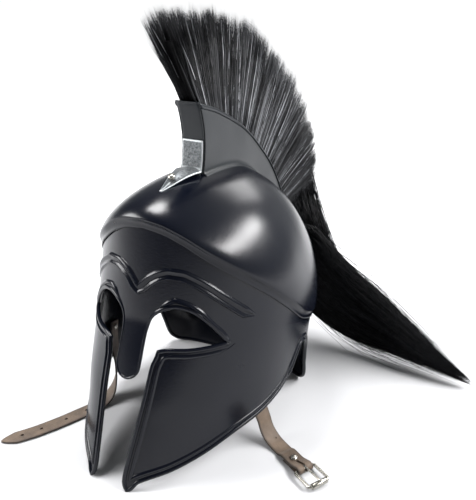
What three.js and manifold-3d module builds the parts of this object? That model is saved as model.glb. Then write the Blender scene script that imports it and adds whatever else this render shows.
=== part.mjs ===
import * as THREE from 'three';
import { mergeVertices } from 'three/addons/utils/BufferGeometryUtils.js';
import Module from 'manifold-3d';

// A plumed helmet in black steel, lying on its cheek tips and neck guard.
// Millimetres, +Z up, face towards -Y, the wearer's left towards +X.
// The shell is drawn upright round the head, with level zero at its widest, then leant back.

// Head shell
const HALF_WIDTH = 105;
const FACE_DEPTH = 126;
const NAPE_DEPTH = 134;
const CROWN = 143;
const CHEEK_DROP = 149;
const CHEEK_REACH = 147;
const GUARD_DROP = 89;
const GUARD_DEPTH = 92;
const SHEET = 1.2;
const EDGE_ROLL = 2.1;
const CLEARANCE = 0.3;
const SEAT_FLAT = 0.8;

// Face opening
const NASAL_WIDTH = 24;
const NASAL_DROP = 51;
const EYE_SPAN = 152;
const EYE_RISE = 20;

// Embossed lines
const BROW_RISE = 51;
const BROW_SPAN = 176;
const BROW_GROOVE = 7;
const BROW_BEAD = 1.9;
const LID_RISE = 25.5;
const LID_BEAD = 1.8;

// Cap
const CAP_PEAK = 92;
const CAP_BAND = 8.5;
const CAP_FLARE = 2.6;
const CAP_BEAK = 3.4;
const BEAK_SPREAD = 22;

// Crest holder
const CREST_WIDTH = 25;
const CREST_TOP = 194;
const CREST_BACK = 150;
const CREST_SHEET = 1.2;
const FOOT_FLANGE = 4;
const TOP_ROLL = 1.3;

// Bracket and its screw
const BRACKET_SHEET = 1.2;
const BRACKET_WIDTH = 22;
const BRACKET_RISE = 28;
const TAB_REACH = 46;
const TAB_FOLD = 3.5;
const SCREW_HEAD = 7;
const SCREW_SHANK = 3.4;
const SCREW_LENGTH = 12;

// Plume
const BRUSH_TOP = 280;
const BRUSH_BACK = 226;
const BRUSH_TIP_WIDTH = 42;
const TAIL_SPAN = 262;
const TAIL_SWAY = 36;
const TAIL_FALL = 56;
const TAIL_DEPTH = 20;
const TAIL_LOCKS = 5;

// Straps
const STRAP_WIDTH = 17;
const STRAP_SHEET = 2;
const LEFT_REACH = 148;
const RIGHT_REACH = 178;
const STRAP_ROOT_HEIGHT = 72;
const FLAP_LENGTH = 24;
const SLOT_BACK = 11;
const RIVET_HEAD = 7;
const RIVET_SHANK = 3;
const PUNCH = 3.2;

// Buckle
const BUCKLE_WIDTH = 25;
const BUCKLE_LENGTH = 22;
const BUCKLE_WIRE = 3;
const ROLLER_OUTER = 5.4;
const PRONG_WIRE = 1.8;

const wasm = await Module();
wasm.setup();
const { Manifold, Mesh: SolidMesh } = wasm;

const sin = Math.sin;
const cos = Math.cos;
const rad = THREE.MathUtils.degToRad;
const lerp = THREE.MathUtils.lerp;
const point = (x, y, z) => new THREE.Vector3(x, y, z);

// Levels of the shell under its widest line, as shares of the cheek's drop and of the shell's sizes.
// A power of two is an ellipse, and a higher one is squarer.
const SECTIONS = [
  { level: 1.10, side: 0.86, face: 1.190, behind: 1.00, nape: 0.72, facePower: 1.85, napePower: 4.0 },
  { level: 0.85, side: 0.90, face: 1.150, behind: 1.00, nape: 0.70, facePower: 1.90, napePower: 4.0 },
  { level: 0.60, side: 0.93, face: 1.108, behind: 0.99, nape: 0.70, facePower: 1.95, napePower: 4.0 },
  { level: 0.42, side: 0.96, face: 1.075, behind: 0.97, nape: 0.74, facePower: 2.0, napePower: 3.2 },
  { level: 0.22, side: 0.98, face: 1.040, behind: 0.98, nape: 0.87, facePower: 2.0, napePower: 2.4 },
  { level: 0, side: 1, face: 1, behind: 1, nape: 1, facePower: 2, napePower: 2 },
];

// The cap's rim round the head, from the peak over the nose to the nape.
const RIM = [
  { turn: 0, up: 1 },
  { turn: 8, up: 0.975 },
  { turn: 16, up: 0.91 },
  { turn: 27, up: 0.78 },
  { turn: 41, up: 0.63 },
  { turn: 59, up: 0.45 },
  { turn: 74, up: 0.29 },
  { turn: 94, up: 0.10 },
  { turn: 120, up: 0.02 },
  { turn: 180, up: 0 },
];

// The upper lid of one eye, from the side of the nasal to the outer corner.
const LID = [
  { out: 0.0, up: -0.70 },
  { out: 0.01, up: -0.20 },
  { out: 0.05, up: 0.30 },
  { out: 0.14, up: 0.66 },
  { out: 0.27, up: 0.90 },
  { out: 0.41, up: 1.0 },
  { out: 0.60, up: 0.85 },
  { out: 0.79, up: 0.38 },
  { out: 0.94, up: -0.20 },
  { out: 1.0, up: -0.45 },
];

// The lower rim of one eye, from its outer corner in to the cheek's front corner.
const UNDER_EYE = [
  { out: 0.88, up: -0.62 },
  { out: 0.79, up: -0.72 },
  { out: 0.60, up: -0.87 },
  { out: 0.34, up: -0.98 },
  { out: 0.23, up: -1.10 },
];

// The cheek's front edge, from its top corner down to the tip.
const CHEEK_FRONT = [
  { out: 0.174, down: 0.175 },
  { out: 0.158, down: 0.24 },
  { out: 0.148, down: 0.43 },
  { out: 0.132, down: 0.64 },
  { out: 0.112, down: 0.88 },
  { out: 0.112, down: 0.95 },
  { out: 0.125, down: 0.985 },
];

// The lower edge seen from the side: cheek tip, jaw line, notch under the ear and neck guard.
const JAW = [
  { forward: 0.99, down: 1.0 },
  { forward: 0.965, down: 0.985 },
  { forward: 0.93, down: 0.94 },
  { forward: 0.81, down: 0.855 },
  { forward: 0.66, down: 0.765 },
  { forward: 0.48, down: 0.66 },
  { forward: 0.24, down: 0.555 },
  { forward: 0.09, down: 0.46 },
  { forward: -0.02, down: 0.36 },
  { forward: -0.075, down: 0.27 },
  { forward: -0.12, down: 0.195 },
  { forward: -0.19, down: 0.185 },
];
const GUARD = [
  { back: 0.42, down: 0.36 },
  { back: 0.52, down: 0.46 },
  { back: 0.66, down: 0.70 },
  { back: 0.80, down: 0.93 },
  { back: 0.88, down: 1.0 },
];

// The double brow over one eye, as shares of its span and rise.
const BROW = [
  { out: 0.0, up: 0.64 },
  { out: 0.045, up: 0.72 },
  { out: 0.11, up: 0.83 },
  { out: 0.20, up: 0.93 },
  { out: 0.32, up: 1.0 },
  { out: 0.43, up: 1.0 },
  { out: 0.54, up: 0.94 },
  { out: 0.65, up: 0.84 },
  { out: 0.76, up: 0.70 },
  { out: 0.88, up: 0.53 },
  { out: 1.0, up: 0.33 },
];
const LID_LINE = [
  { out: 0.20, up: 0.64 },
  { out: 0.31, up: 0.87 },
  { out: 0.41, up: 1.0 },
  { out: 0.55, up: 0.94 },
  { out: 0.71, up: 0.71 },
  { out: 0.86, up: 0.29 },
  { out: 0.97, up: -0.02 },
  { out: 1.05, up: -0.36 },
];

// The crest holder from front to back: its foot on the dome, its top edge and the brush's outline.
const CREST = [
  { foot: -0.40, back: -0.533, up: 1.0, tipBack: -0.66, tipUp: 0.90 },
  { foot: -0.31, back: -0.38, up: 0.995, tipBack: -0.50, tipUp: 0.958 },
  { foot: -0.20, back: -0.193, up: 0.974, tipBack: -0.31, tipUp: 0.99 },
  { foot: -0.05, back: 0.02, up: 0.938, tipBack: -0.07, tipUp: 1.0 },
  { foot: 0.10, back: 0.187, up: 0.892, tipBack: 0.15, tipUp: 0.96 },
  { foot: 0.25, back: 0.367, up: 0.825, tipBack: 0.36, tipUp: 0.91 },
  { foot: 0.40, back: 0.527, up: 0.758, tipBack: 0.56, tipUp: 0.845 },
  { foot: 0.54, back: 0.693, up: 0.663, tipBack: 0.76, tipUp: 0.74 },
  { foot: 0.66, back: 0.827, up: 0.564, tipBack: 0.90, tipUp: 0.61 },
  { foot: 0.76, back: 0.933, up: 0.454, tipBack: 0.98, tipUp: 0.45 },
  { foot: 0.83, back: 1.0, up: 0.371, tipBack: 1.0, tipUp: 0.28 },
];

// The mane, in the resting frame: how its middle line leaves its root, and its half height and depth.
const TAIL = [
  { out: 0.00, back: 0.00, down: 0.00, tall: 0.18, deep: 0.24 },
  { out: 0.09, back: 0.18, down: 0.30, tall: 0.80, deep: 0.55 },
  { out: 0.21, back: 0.13, down: 0.34, tall: 0.98, deep: 0.72 },
  { out: 0.34, back: -0.04, down: 0.515, tall: 0.83, deep: 0.80 },
  { out: 0.48, back: -0.20, down: 0.60, tall: 0.73, deep: 0.80 },
  { out: 0.63, back: -0.32, down: 0.69, tall: 0.50, deep: 0.72 },
  { out: 0.76, back: -0.40, down: 0.795, tall: 0.28, deep: 0.58 },
  { out: 0.90, back: -0.54, down: 0.89, tall: 0.11, deep: 0.36 },
  { out: 1.00, back: -0.62, down: 0.945, tall: 0.03, deep: 0.12 },
];

// Smooth value of a table's column where its key column holds x.
function lookup(rows, key, column, x) {
  const sign = rows[rows.length - 1][key] > rows[0][key] ? 1 : -1;
  const keys = rows.map((row) => sign * row[key]);
  const t = sign * x;
  const last = rows.length - 1;
  if (t <= keys[0]) return rows[0][column];
  if (t >= keys[last]) return rows[last][column];
  const i = keys.findIndex((k) => k > t) - 1;
  const slope = (a, b) => (rows[b][column] - rows[a][column]) / (keys[b] - keys[a]);
  const tangent = (k) => {
    if (k === 0) return slope(0, 1);
    if (k === last) return slope(last - 1, last);
    const before = slope(k - 1, k);
    const after = slope(k, k + 1);
    return before * after <= 0 ? 0 : 2 * before * after / (before + after);
  };
  const h = keys[i + 1] - keys[i];
  const s = (t - keys[i]) / h;
  const a = rows[i][column];
  const b = rows[i + 1][column];
  return a * (1 + 2 * s) * (1 - s) ** 2 + b * s * s * (3 - 2 * s)
    + h * s * (1 - s) * (tangent(i) * (1 - s) - tangent(i + 1) * s);
}

// Radius of the shell's outside at a turn from the nose line and a level.
function shellRadius(turn, level) {
  const share = Math.max(-level / CHEEK_DROP, 0);
  const facing = cos(turn) > 0;
  const side = HALF_WIDTH * lookup(SECTIONS, 'level', facing ? 'side' : 'behind', share);
  const depth = facing ? FACE_DEPTH * lookup(SECTIONS, 'level', 'face', share)
    : NAPE_DEPTH * lookup(SECTIONS, 'level', 'nape', share);
  const power = lookup(SECTIONS, 'level', facing ? 'facePower' : 'napePower', share);
  return (Math.abs(sin(turn) / side) ** power + Math.abs(cos(turn) / depth) ** power) ** (-1 / power);
}
function shellPoint(turn, level, lift = 0) {
  const r = shellRadius(turn, level) + lift;
  return point(r * sin(turn), -r * cos(turn), level);
}

// Turn at which the shell reaches a given x in front, or a given y at the left side.
function turnWhere(level, value, axis) {
  let low = 0;
  let high = axis === 'x' ? rad(90) : rad(180);
  for (let i = 0; i < 40; i += 1) {
    const middle = (low + high) / 2;
    if (shellPoint(middle, level)[axis] < value) low = middle;
    else high = middle;
  }
  return (low + high) / 2;
}
const onFront = (x, level, lift = 0) => (x < 0
  ? shellPoint(-turnWhere(level, -x, 'x'), level, lift)
  : shellPoint(turnWhere(level, x, 'x'), level, lift));
const onSide = (y, level, lift = 0) => shellPoint(turnWhere(level, y, 'y'), level, lift);

// A closed body between two grids of points; ring closes it round, otherwise its ends are walls.
function closedSheet(outer, inner, rows, columns, ring) {
  const across = ring ? columns : columns + 1;
  const position = [];
  for (const side of [outer, inner]) {
    for (let i = 0; i <= rows; i += 1) {
      for (let j = 0; j < across; j += 1) {
        position.push(...side(i / rows, j / columns, i, j).toArray());
      }
    }
  }
  const half = (rows + 1) * across;
  const index = [];
  const quad = (a, b, c, d) => index.push(a, b, c, a, c, d);
  const at = (i, j, side) => side * half + i * across + (j % across);
  for (let j = 0; j < columns; j += 1) {
    for (let i = 0; i < rows; i += 1) {
      quad(at(i, j, 0), at(i, j + 1, 0), at(i + 1, j + 1, 0), at(i + 1, j, 0));
      quad(at(i, j, 1), at(i + 1, j, 1), at(i + 1, j + 1, 1), at(i, j + 1, 1));
    }
    quad(at(0, j, 1), at(0, j + 1, 1), at(0, j + 1, 0), at(0, j, 0));
    quad(at(rows, j, 0), at(rows, j + 1, 0), at(rows, j + 1, 1), at(rows, j, 1));
  }
  if (!ring) {
    for (let i = 0; i < rows; i += 1) {
      quad(at(i, 0, 0), at(i + 1, 0, 0), at(i + 1, 0, 1), at(i, 0, 1));
      quad(at(i, columns, 1), at(i + 1, columns, 1), at(i + 1, columns, 0), at(i, columns, 0));
    }
  }
  const geometry = new THREE.BufferGeometry();
  geometry.setAttribute('position', new THREE.Float32BufferAttribute(position, 3));
  geometry.setIndex(index);
  return solidFrom(geometry);
}

// A solid from a closed geometry, turned outside out if its faces point in.
function solidFrom(source) {
  const bare = source.index ? source.clone() : source;
  bare.deleteAttribute('normal');
  bare.deleteAttribute('uv');
  const merged = mergeVertices(bare, 1e-4);
  const position = merged.attributes.position;
  const index = merged.index.array;
  const kept = [];
  for (let i = 0; i < index.length; i += 3) {
    const [a, b, c] = [index[i], index[i + 1], index[i + 2]];
    if (a !== b && b !== c && c !== a) kept.push([a, b, c]);
  }
  const corner = (k) => new THREE.Vector3().fromBufferAttribute(position, k);
  const volume = kept.reduce((sum, [a, b, c]) => (
    sum + corner(a).dot(corner(b).cross(corner(c)))), 0);
  const triangles = volume < 0 ? kept.map(([a, b, c]) => [a, c, b]) : kept;
  return new Manifold(new SolidMesh({
    numProp: 3,
    vertProperties: new Float32Array(position.array),
    triVerts: new Uint32Array(triangles.flat()),
  }));
}
function geometryFrom(solid) {
  const mesh = solid.getMesh();
  const geometry = new THREE.BufferGeometry();
  geometry.setAttribute('position', new THREE.Float32BufferAttribute(mesh.vertProperties, 3));
  geometry.setIndex(new THREE.Uint32BufferAttribute(mesh.triVerts, 1));
  geometry.computeVertexNormals();
  return geometry;
}
const fuse = (solids) => solids.reduce((sum, solid) => sum.add(solid));
const mirrored = (solid) => solid.mirror([1, 0, 0]);
function moved(solid, matrix) {
  return solid.transform(matrix.elements);
}

// A prism of a flat outline, given as pairs of across and up, along X or Y.
function prism(outline, along, from, to) {
  const shape = new THREE.Shape(outline.map(([a, b]) => new THREE.Vector2(a, b)));
  const geometry = new THREE.ExtrudeGeometry(shape, { depth: to - from, bevelEnabled: false });
  geometry.translate(0, 0, from);
  const basis = new THREE.Matrix4();
  if (along === 'y') basis.makeBasis(point(1, 0, 0), point(0, 0, 1), point(0, 1, 0));
  else basis.makeBasis(point(0, 1, 0), point(0, 0, 1), point(1, 0, 0));
  geometry.applyMatrix4(basis);
  return solidFrom(geometry);
}

// A rod along a list of points, of round section or of a pair of half sizes; loop joins its ends.
function rod(points, radius, sides, loop, out) {
  const count = points.length;
  const rings = points.map((centre, k) => {
    const before = points[loop ? (k + count - 1) % count : Math.max(k - 1, 0)];
    const after = points[loop ? (k + 1) % count : Math.min(k + 1, count - 1)];
    const tangent = after.clone().sub(before).normalize();
    const normal = (out ? out(centre) : point(0, 0, 1)).clone();
    normal.addScaledVector(tangent, -normal.dot(tangent)).normalize();
    const side = tangent.clone().cross(normal);
    const size = typeof radius === 'function' ? radius(k / (count - 1)) : radius;
    const [high, wide] = Array.isArray(size) ? size : [size, size];
    return Array.from({ length: sides }, (_, i) => {
      const turn = 2 * Math.PI * (i + 0.5) / sides;
      return centre.clone().addScaledVector(normal, high * cos(turn))
        .addScaledVector(side, wide * sin(turn));
    });
  });
  const position = rings.flat().flatMap((p) => p.toArray());
  const index = [];
  const spans = loop ? count : count - 1;
  for (let k = 0; k < spans; k += 1) {
    for (let i = 0; i < sides; i += 1) {
      const a = k * sides + i;
      const b = k * sides + (i + 1) % sides;
      const c = ((k + 1) % count) * sides + (i + 1) % sides;
      const d = ((k + 1) % count) * sides + i;
      index.push(a, b, c, a, c, d);
    }
  }
  if (!loop) {
    for (let i = 1; i < sides - 1; i += 1) {
      index.push(0, i + 1, i);
      const base = (count - 1) * sides;
      index.push(base, base + i, base + i + 1);
    }
  }
  const geometry = new THREE.BufferGeometry();
  geometry.setAttribute('position', new THREE.Float32BufferAttribute(position, 3));
  geometry.setIndex(index);
  return solidFrom(geometry);
}

// A turned piece about an axis, from pairs of radius and height.
function turned(profile, sides, place, axis) {
  const geometry = new THREE.LatheGeometry(
    profile.map(([r, h]) => new THREE.Vector2(r, h)), sides);
  const spin = new THREE.Quaternion().setFromUnitVectors(point(0, 1, 0), axis.clone().normalize());
  geometry.applyQuaternion(spin);
  geometry.translate(place.x, place.y, place.z);
  return solidFrom(geometry);
}

// Smooth list of points through a few.
function smooth(points, count) {
  return new THREE.CatmullRomCurve3(points, false, 'centripetal').getSpacedPoints(count);
}

// The lean that puts the cheek tips and the neck guard on one level.
const tipSeat = { y: -CHEEK_REACH * JAW[0].forward, z: -CHEEK_DROP - EDGE_ROLL };
const guardSeat = { y: GUARD_DEPTH, z: -GUARD_DROP - EDGE_ROLL };
const LEAN = Math.atan2(guardSeat.z - tipSeat.z, guardSeat.y - tipSeat.y);
const SEAT_HEIGHT = tipSeat.y * sin(LEAN) - tipSeat.z * cos(LEAN) - SEAT_FLAT;
const leaning = new THREE.Matrix4().makeTranslation(0, 0, SEAT_HEIGHT)
  .multiply(new THREE.Matrix4().makeRotationX(-LEAN));
const rested = (p) => p.clone().applyMatrix4(leaning);

const rimLevel = (turn) => {
  const degrees = Math.abs(THREE.MathUtils.radToDeg(Math.atan2(sin(turn), cos(turn))));
  return CAP_PEAK * lookup(RIM, 'turn', 'up', degrees);
};

// Outlines on the shell
const eyeLevel = (up) => EYE_RISE * up;
const eyeHalf = EYE_SPAN / 2;
const nasalHalf = NASAL_WIDTH / 2;
const eyeX = (out) => lerp(nasalHalf, eyeHalf, out);
const nasalEnd = Array.from({ length: 5 }, (_, i) => {
  const turn = rad(90) * i / 4;
  return [nasalHalf * sin(turn), -NASAL_DROP + nasalHalf * (1 - cos(turn))];
});
const frontHalf = [
  ...nasalEnd,
  ...LID.map(({ out, up }) => [eyeX(out), eyeLevel(up)]),
  ...UNDER_EYE.map(({ out, up }) => [eyeX(out), eyeLevel(up)]),
  ...CHEEK_FRONT.map(({ out, down }) => [eyeHalf * 2 * out, -CHEEK_DROP * down]),
];
const jawEdge = [
  ...JAW.map(({ forward, down }) => [-CHEEK_REACH * forward, -CHEEK_DROP * down]),
  ...GUARD.map(({ back, down }) => [GUARD_DEPTH * back, -GUARD_DROP * down]),
];

// Face shell: one sheet with its opening, notches and rolled edge
const SHELL_TOP = 3;
const shellFloor = -CHEEK_DROP - 8;
const shellLevels = 9;
const roundTurns = 34;
const shellAt = (inset) => (v, u) => {
  const turn = -2 * Math.PI * u;
  const top = rimLevel(turn) + SHELL_TOP;
  return shellPoint(turn, lerp(shellFloor, top, v), -inset);
};
const openingOutline = [
  ...frontHalf,
  [frontHalf.at(-1)[0], shellFloor - 20],
  [-frontHalf.at(-1)[0], shellFloor - 20],
  ...frontHalf.slice(1).reverse().map(([x, z]) => [-x, z]),
];
const faceOpening = prism(openingOutline, 'y', -CHEEK_REACH * 1.4, -FACE_DEPTH * 0.2);
const underJaw = prism([
  [-CHEEK_REACH * 1.3, -CHEEK_DROP * 1.0],
  ...jawEdge,
  [GUARD_DEPTH, -GUARD_DROP],
  [NAPE_DEPTH * 1.3, -GUARD_DROP],
  [NAPE_DEPTH * 1.3, shellFloor - 20],
  [-CHEEK_REACH * 1.3, shellFloor - 20],
], 'x', -HALF_WIDTH * 1.5, HALF_WIDTH * 1.5);

const middle = -SHEET / 2;
const guardTurns = [0.30, 0.55, 0.78, 1].map((share) => {
  const from = turnWhere(-GUARD_DROP, GUARD_DEPTH * GUARD.at(-1).back, 'y');
  return shellPoint(lerp(from, Math.PI, share), -GUARD_DROP, middle);
});
const leftEdge = [
  ...frontHalf.map(([x, z]) => onFront(x, z, middle)),
  ...jawEdge.map(([y, z]) => (y < -CHEEK_REACH * 0.9
    ? onFront(lerp(frontHalf.at(-1)[0], 32, (y + CHEEK_REACH) / (CHEEK_REACH * 0.1)), z, middle)
    : onSide(y, z, middle))),
  ...guardTurns,
];
const wholeEdge = [
  ...leftEdge,
  ...leftEdge.slice(1, -1).reverse().map((p) => point(-p.x, p.y, p.z)),
];
const outward = (p) => point(p.x, p.y, 0).normalize();
const edgeRoll = rod(wholeEdge, EDGE_ROLL, 5, true, outward);

const browLine = (drop) => BROW.map(({ out, up }) => (
  onFront(BROW_SPAN / 2 * out, BROW_RISE * up - drop, 0.2)));
const lidLine = LID_LINE.map(({ out, up }) => onFront(eyeX(out) - 3, LID_RISE * up, 0.2));
const beads = [
  rod(smooth(browLine(0), 10), BROW_BEAD, 5, false, outward),
  rod(smooth(browLine(BROW_GROOVE), 10), BROW_BEAD * 0.8, 5, false, outward),
  rod(smooth(lidLine, 8), LID_BEAD, 5, false, outward),
];
const ground = prism([
  [-400, -100], [400, -100], [400, 0], [-400, 0],
], 'y', -400, 400);
const faceShell = moved(fuse([
  closedSheet(shellAt(0), shellAt(SHEET), shellLevels, roundTurns, true)
    .subtract(faceOpening).subtract(underJaw),
  edgeRoll, ...beads, ...beads.map(mirrored),
]), leaning).subtract(ground);

// Skull cap: band under a crease, then the dome
function capCrease(turn) {
  const degrees = Math.abs(THREE.MathUtils.radToDeg(Math.atan2(sin(turn), cos(turn))));
  const beak = CAP_BEAK * Math.exp(-((degrees / BEAK_SPREAD) ** 2));
  const level = rimLevel(turn);
  return { level, radius: shellRadius(turn, 0) + CLEARANCE + SHEET + CAP_FLARE + beak };
}
const domePower = (level) => 2 - 0.5 * Math.sqrt(Math.max(level, 0) / CAP_PEAK);
function domePoint(turn, rise, inset = 0) {
  const { level, radius } = capCrease(turn);
  const power = 2 / domePower(level);
  const r = radius * Math.max(cos(rise), 0) ** power - inset * cos(rise);
  const z = level + (CROWN - level) * sin(rise) ** power - inset * sin(rise);
  return point(Math.max(r, 0) * sin(turn), -Math.max(r, 0) * cos(turn), z);
}
function domeLevel(x, y) {
  const turn = Math.atan2(x, -y);
  const { level, radius } = capCrease(turn);
  const power = domePower(level);
  const rise = Math.acos(Math.min((Math.hypot(x, y) / radius) ** (power / 2), 1));
  return level + (CROWN - level) * sin(rise) ** (2 / power);
}
const domeRows = 8;
const capAt = (inset) => (v, u, i) => {
  const turn = -2 * Math.PI * u;
  if (i < 2) {
    const drop = CAP_BAND * (i === 0 ? 1 : 0.82);
    return shellPoint(turn, rimLevel(turn) - drop, CLEARANCE + SHEET - inset);
  }
  return domePoint(turn, rad(90) * (i - 2) / domeRows, inset);
};
const screwPlace = point(0, -TAB_REACH * 0.62 - 60, 0);
screwPlace.z = domeLevel(0, screwPlace.y);
const screwAxis = point(0, -0.75, 1).normalize();
const screwHole = turned([
  [0, -SCREW_LENGTH], [SCREW_SHANK / 2 + CLEARANCE, -SCREW_LENGTH],
  [SCREW_SHANK / 2 + CLEARANCE, SCREW_LENGTH], [0, SCREW_LENGTH],
], 12, screwPlace, screwAxis);
// Everything that sits on the dome is cut back to a clearance over it.
const aboveDome = closedSheet(capAt(-CLEARANCE), capAt(CROWN * 0.12), domeRows + 2, roundTurns, true);
const skullCap = moved(
  closedSheet(capAt(0), capAt(SHEET), domeRows + 2, roundTurns, true).subtract(screwHole), leaning);

// Crest holder: two side plates with a foot flange and a rolled top, and a plate at each end
const SEAT_SINK = 0.5;
const crestHalf = CREST_WIDTH / 2;
const crestRow = (u) => {
  const at = (column) => lookup(CREST.map((row, i) => ({ ...row, u: i / (CREST.length - 1) })),
    'u', column, u);
  return { foot: NAPE_DEPTH * at('foot') * 1.12, y: CREST_BACK * at('back'), z: CREST_TOP * at('up'),
    tip: point(0, BRUSH_BACK * at('tipBack'), BRUSH_TOP * at('tipUp')) };
};
// Place on the side plate: v runs from the foot up, and the front edge leans into a hollow curve.
function crestPlace(u, v, x) {
  const { foot, y, z } = crestRow(u);
  const base = domeLevel(x, foot) - SEAT_SINK;
  const hollow = 1 + 1.5 * (1 - u) ** 6;
  return point(x, lerp(foot, y, v ** hollow), lerp(base, z, v));
}
const crestColumns = 10;
const crestRows = 7;
const crestOuter = (v, u, i) => {
  if (i === 0) return crestPlace(u, 0, crestHalf + FOOT_FLANGE).add(point(0, 0, CREST_SHEET));
  if (i === 1) return crestPlace(u, 0, crestHalf).add(point(0, 0, CREST_SHEET));
  const share = [0.04, 0.3, 0.6, 0.93, 0.955, 1][i - 2];
  const roll = i >= 6 ? TOP_ROLL : 0;
  return crestPlace(u, share, crestHalf).add(point(roll, 0, 0));
};
const crestInner = (v, u, i) => {
  if (i === 0) return crestPlace(u, 0, crestHalf + FOOT_FLANGE);
  const share = [0, 0.04, 0.3, 0.6, 0.93, 0.955, 1][i - 1];
  const p = crestPlace(u, share, crestHalf);
  p.x -= CREST_SHEET;
  return p;
};
const sidePlate = closedSheet(crestOuter, crestInner, crestRows, crestColumns, false);
const endPlate = (u, inset) => closedSheet(
  (v, w) => crestPlace(u, v, crestHalf).multiply(point(2 * w - 1, 1, 1)),
  (v, w) => crestPlace(u, v, crestHalf).add(point(0, inset, 0)).multiply(point(2 * w - 1, 1, 1)),
  8, 1, false);
const crestBox = moved(fuse([
  sidePlate, mirrored(sidePlate), endPlate(0, CREST_SHEET), endPlate(1, -CREST_SHEET),
]).subtract(aboveDome), leaning);

// Bracket: a rectangle on the front plate, bent into a folded triangular tab on the dome
const bracketHalf = BRACKET_WIDTH / 2;
const plateFront = (z) => {
  const { foot, y, z: top } = crestRow(0);
  const base = domeLevel(crestHalf, foot) - SEAT_SINK;
  const v = Math.min(Math.max((z - base) / (top - base), 0), 1);
  return lerp(foot, y, v ** 2.5);
};
const bendLevel = domeLevel(crestHalf, crestRow(0).foot) + 3;
const tabStart = plateFront(bendLevel) - CLEARANCE;
const bracketAt = (lift) => (v, u, i) => {
  const across = 2 * u - 1;
  if (i >= 6) {
    const z = bendLevel + BRACKET_RISE * (i - 6) / 4;
    return point(bracketHalf * across, plateFront(z) - CLEARANCE - lift, z);
  }
  const share = 1 - i / 6;
  const half = lerp(bracketHalf, 1.4, share);
  const x = half * across;
  const y = tabStart - TAB_REACH * share - lift * 0.5;
  const fold = TAB_FOLD * (1 - Math.abs(across)) * sin(Math.PI * Math.min(share + 0.25, 1));
  const seat = domeLevel(x, y);
  const z = lerp(seat, bendLevel, (1 - share) ** 2);
  return point(x, y, z + fold + lift);
};
const bracket = moved(closedSheet(bracketAt(BRACKET_SHEET), bracketAt(0), 10, 6, false)
  .subtract(screwHole).subtract(aboveDome), leaning);
const headSeat = BRACKET_SHEET + TAB_FOLD + 1.6;
const screw = moved(turned([
  [0, -SCREW_LENGTH + 5], [SCREW_SHANK / 2, -SCREW_LENGTH + 5], [SCREW_SHANK / 2, headSeat],
  [SCREW_HEAD / 2, headSeat], [SCREW_HEAD / 2, headSeat + 1], [SCREW_HEAD * 0.3, headSeat + 2.2],
  [0, headSeat + 2.4],
], 12, screwPlace, screwAxis), leaning);

// Brush: one fan of stiff hair, in locks that stand out from the fan and end unevenly
const brushInset = CREST_SHEET + CLEARANCE;
const brushColumns = 30;
const brushRows = 7;
const brushAt = (side) => (v, u, i, j) => {
  const inner = lerp(0.03, 0.97, u);
  const lock = j % 2 === 0 ? 1 : 0.78;
  const share = [0.16, 0.4, 0.7, 1][Math.min(i, 3)];
  const push = u < 0.5 ? brushInset * (1 - u) ** 6 : -brushInset * u ** 6;
  const root = crestPlace(inner, share, 0).add(point(0, push, 0));
  const half = crestHalf - brushInset - 0.4;
  if (i <= 3) return root.setX(side * half * (i === 3 ? 1 : 0.95));
  const t = (i - 3) / (brushRows - 3);
  const end = crestRow(inner).tip.clone();
  const p = root.clone().lerp(end, t * (lock === 1 ? 1 : 0.95));
  const spread = lerp(half, BRUSH_TIP_WIDTH / 2, t) * (i === brushRows ? 0.55 : 1);
  return p.setX(side * spread * lerp(1, lock, Math.min(t * 2, 1)));
};
const brush = moved(closedSheet(brushAt(1), brushAt(-1), brushRows, brushColumns, false), leaning);

// Mane: locks round one middle line, from the holder's end down to the surface
// Its root sits under the holder's rear plate.
const tailSeat = rested(crestPlace(1, 0.6, 0));
tailSeat.z -= TAIL_FALL * TAIL[0].tall * 0.47 + CLEARANCE;
const tailRow = (t) => {
  const table = TAIL.map((row, i) => ({ ...row, t: i / (TAIL.length - 1) }));
  const at = (column) => lookup(table, 't', column, t);
  return {
    centre: tailSeat.clone().add(point(
      TAIL_SPAN * at('out'), TAIL_SWAY * at('back'), -tailSeat.z * at('down'))),
    tall: TAIL_FALL * at('tall'),
    deep: TAIL_DEPTH * at('deep'),
  };
};
const tailLocks = Array.from({ length: TAIL_LOCKS }, (_, k) => {
  const angle = 2 * Math.PI * (k + 0.25) / TAIL_LOCKS;
  const reach = 0.99 - 0.05 * (k % 3);
  const line = Array.from({ length: 6 }, (__, i) => {
    const { centre, tall, deep } = tailRow(lerp(0.06, reach, i / 5));
    return centre.add(point(0, 0.72 * deep * cos(angle), 0.86 * tall * sin(angle)));
  });
  return rod(line, (t) => Math.max(0.36 * tailRow(lerp(0.06, reach, t)).deep * (1 - t * t), 0.5), 4, false);
});
const tailCore = rod(Array.from({ length: 10 }, (_, i) => tailRow(i / 9).centre), (t) => {
  const { tall, deep } = tailRow(t);
  return [Math.max(0.88 * tall, 0.5), Math.max(0.84 * deep, 0.5)];
}, 8, false);
const tail = fuse([tailCore, ...tailLocks]);

// Straps
// A flat strap along a list of rows, each a centre and the direction across it.
function strip(rows, thickness) {
  const frames = rows.map(({ centre, across, width }, k) => {
    const before = rows[Math.max(k - 1, 0)].centre;
    const after = rows[Math.min(k + 1, rows.length - 1)].centre;
    const along = after.clone().sub(before).normalize();
    const side = across.clone().addScaledVector(along, -across.dot(along)).normalize();
    return { centre, side, normal: along.cross(side).normalize(), width };
  });
  const face = (lift) => (v, u, i, j) => {
    const { centre, side, normal, width } = frames[i];
    return centre.clone().addScaledVector(side, (j - 0.5) * width)
      .addScaledVector(normal, lift * thickness / 2);
  };
  return closedSheet(face(1), face(-1), rows.length - 1, 1, false);
}
const heading = (degrees) => point(cos(rad(degrees)), sin(rad(degrees)), 0);
const STRAP_LIFT = 0.3;
const lyingLevel = STRAP_LIFT + STRAP_SHEET / 2;

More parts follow.
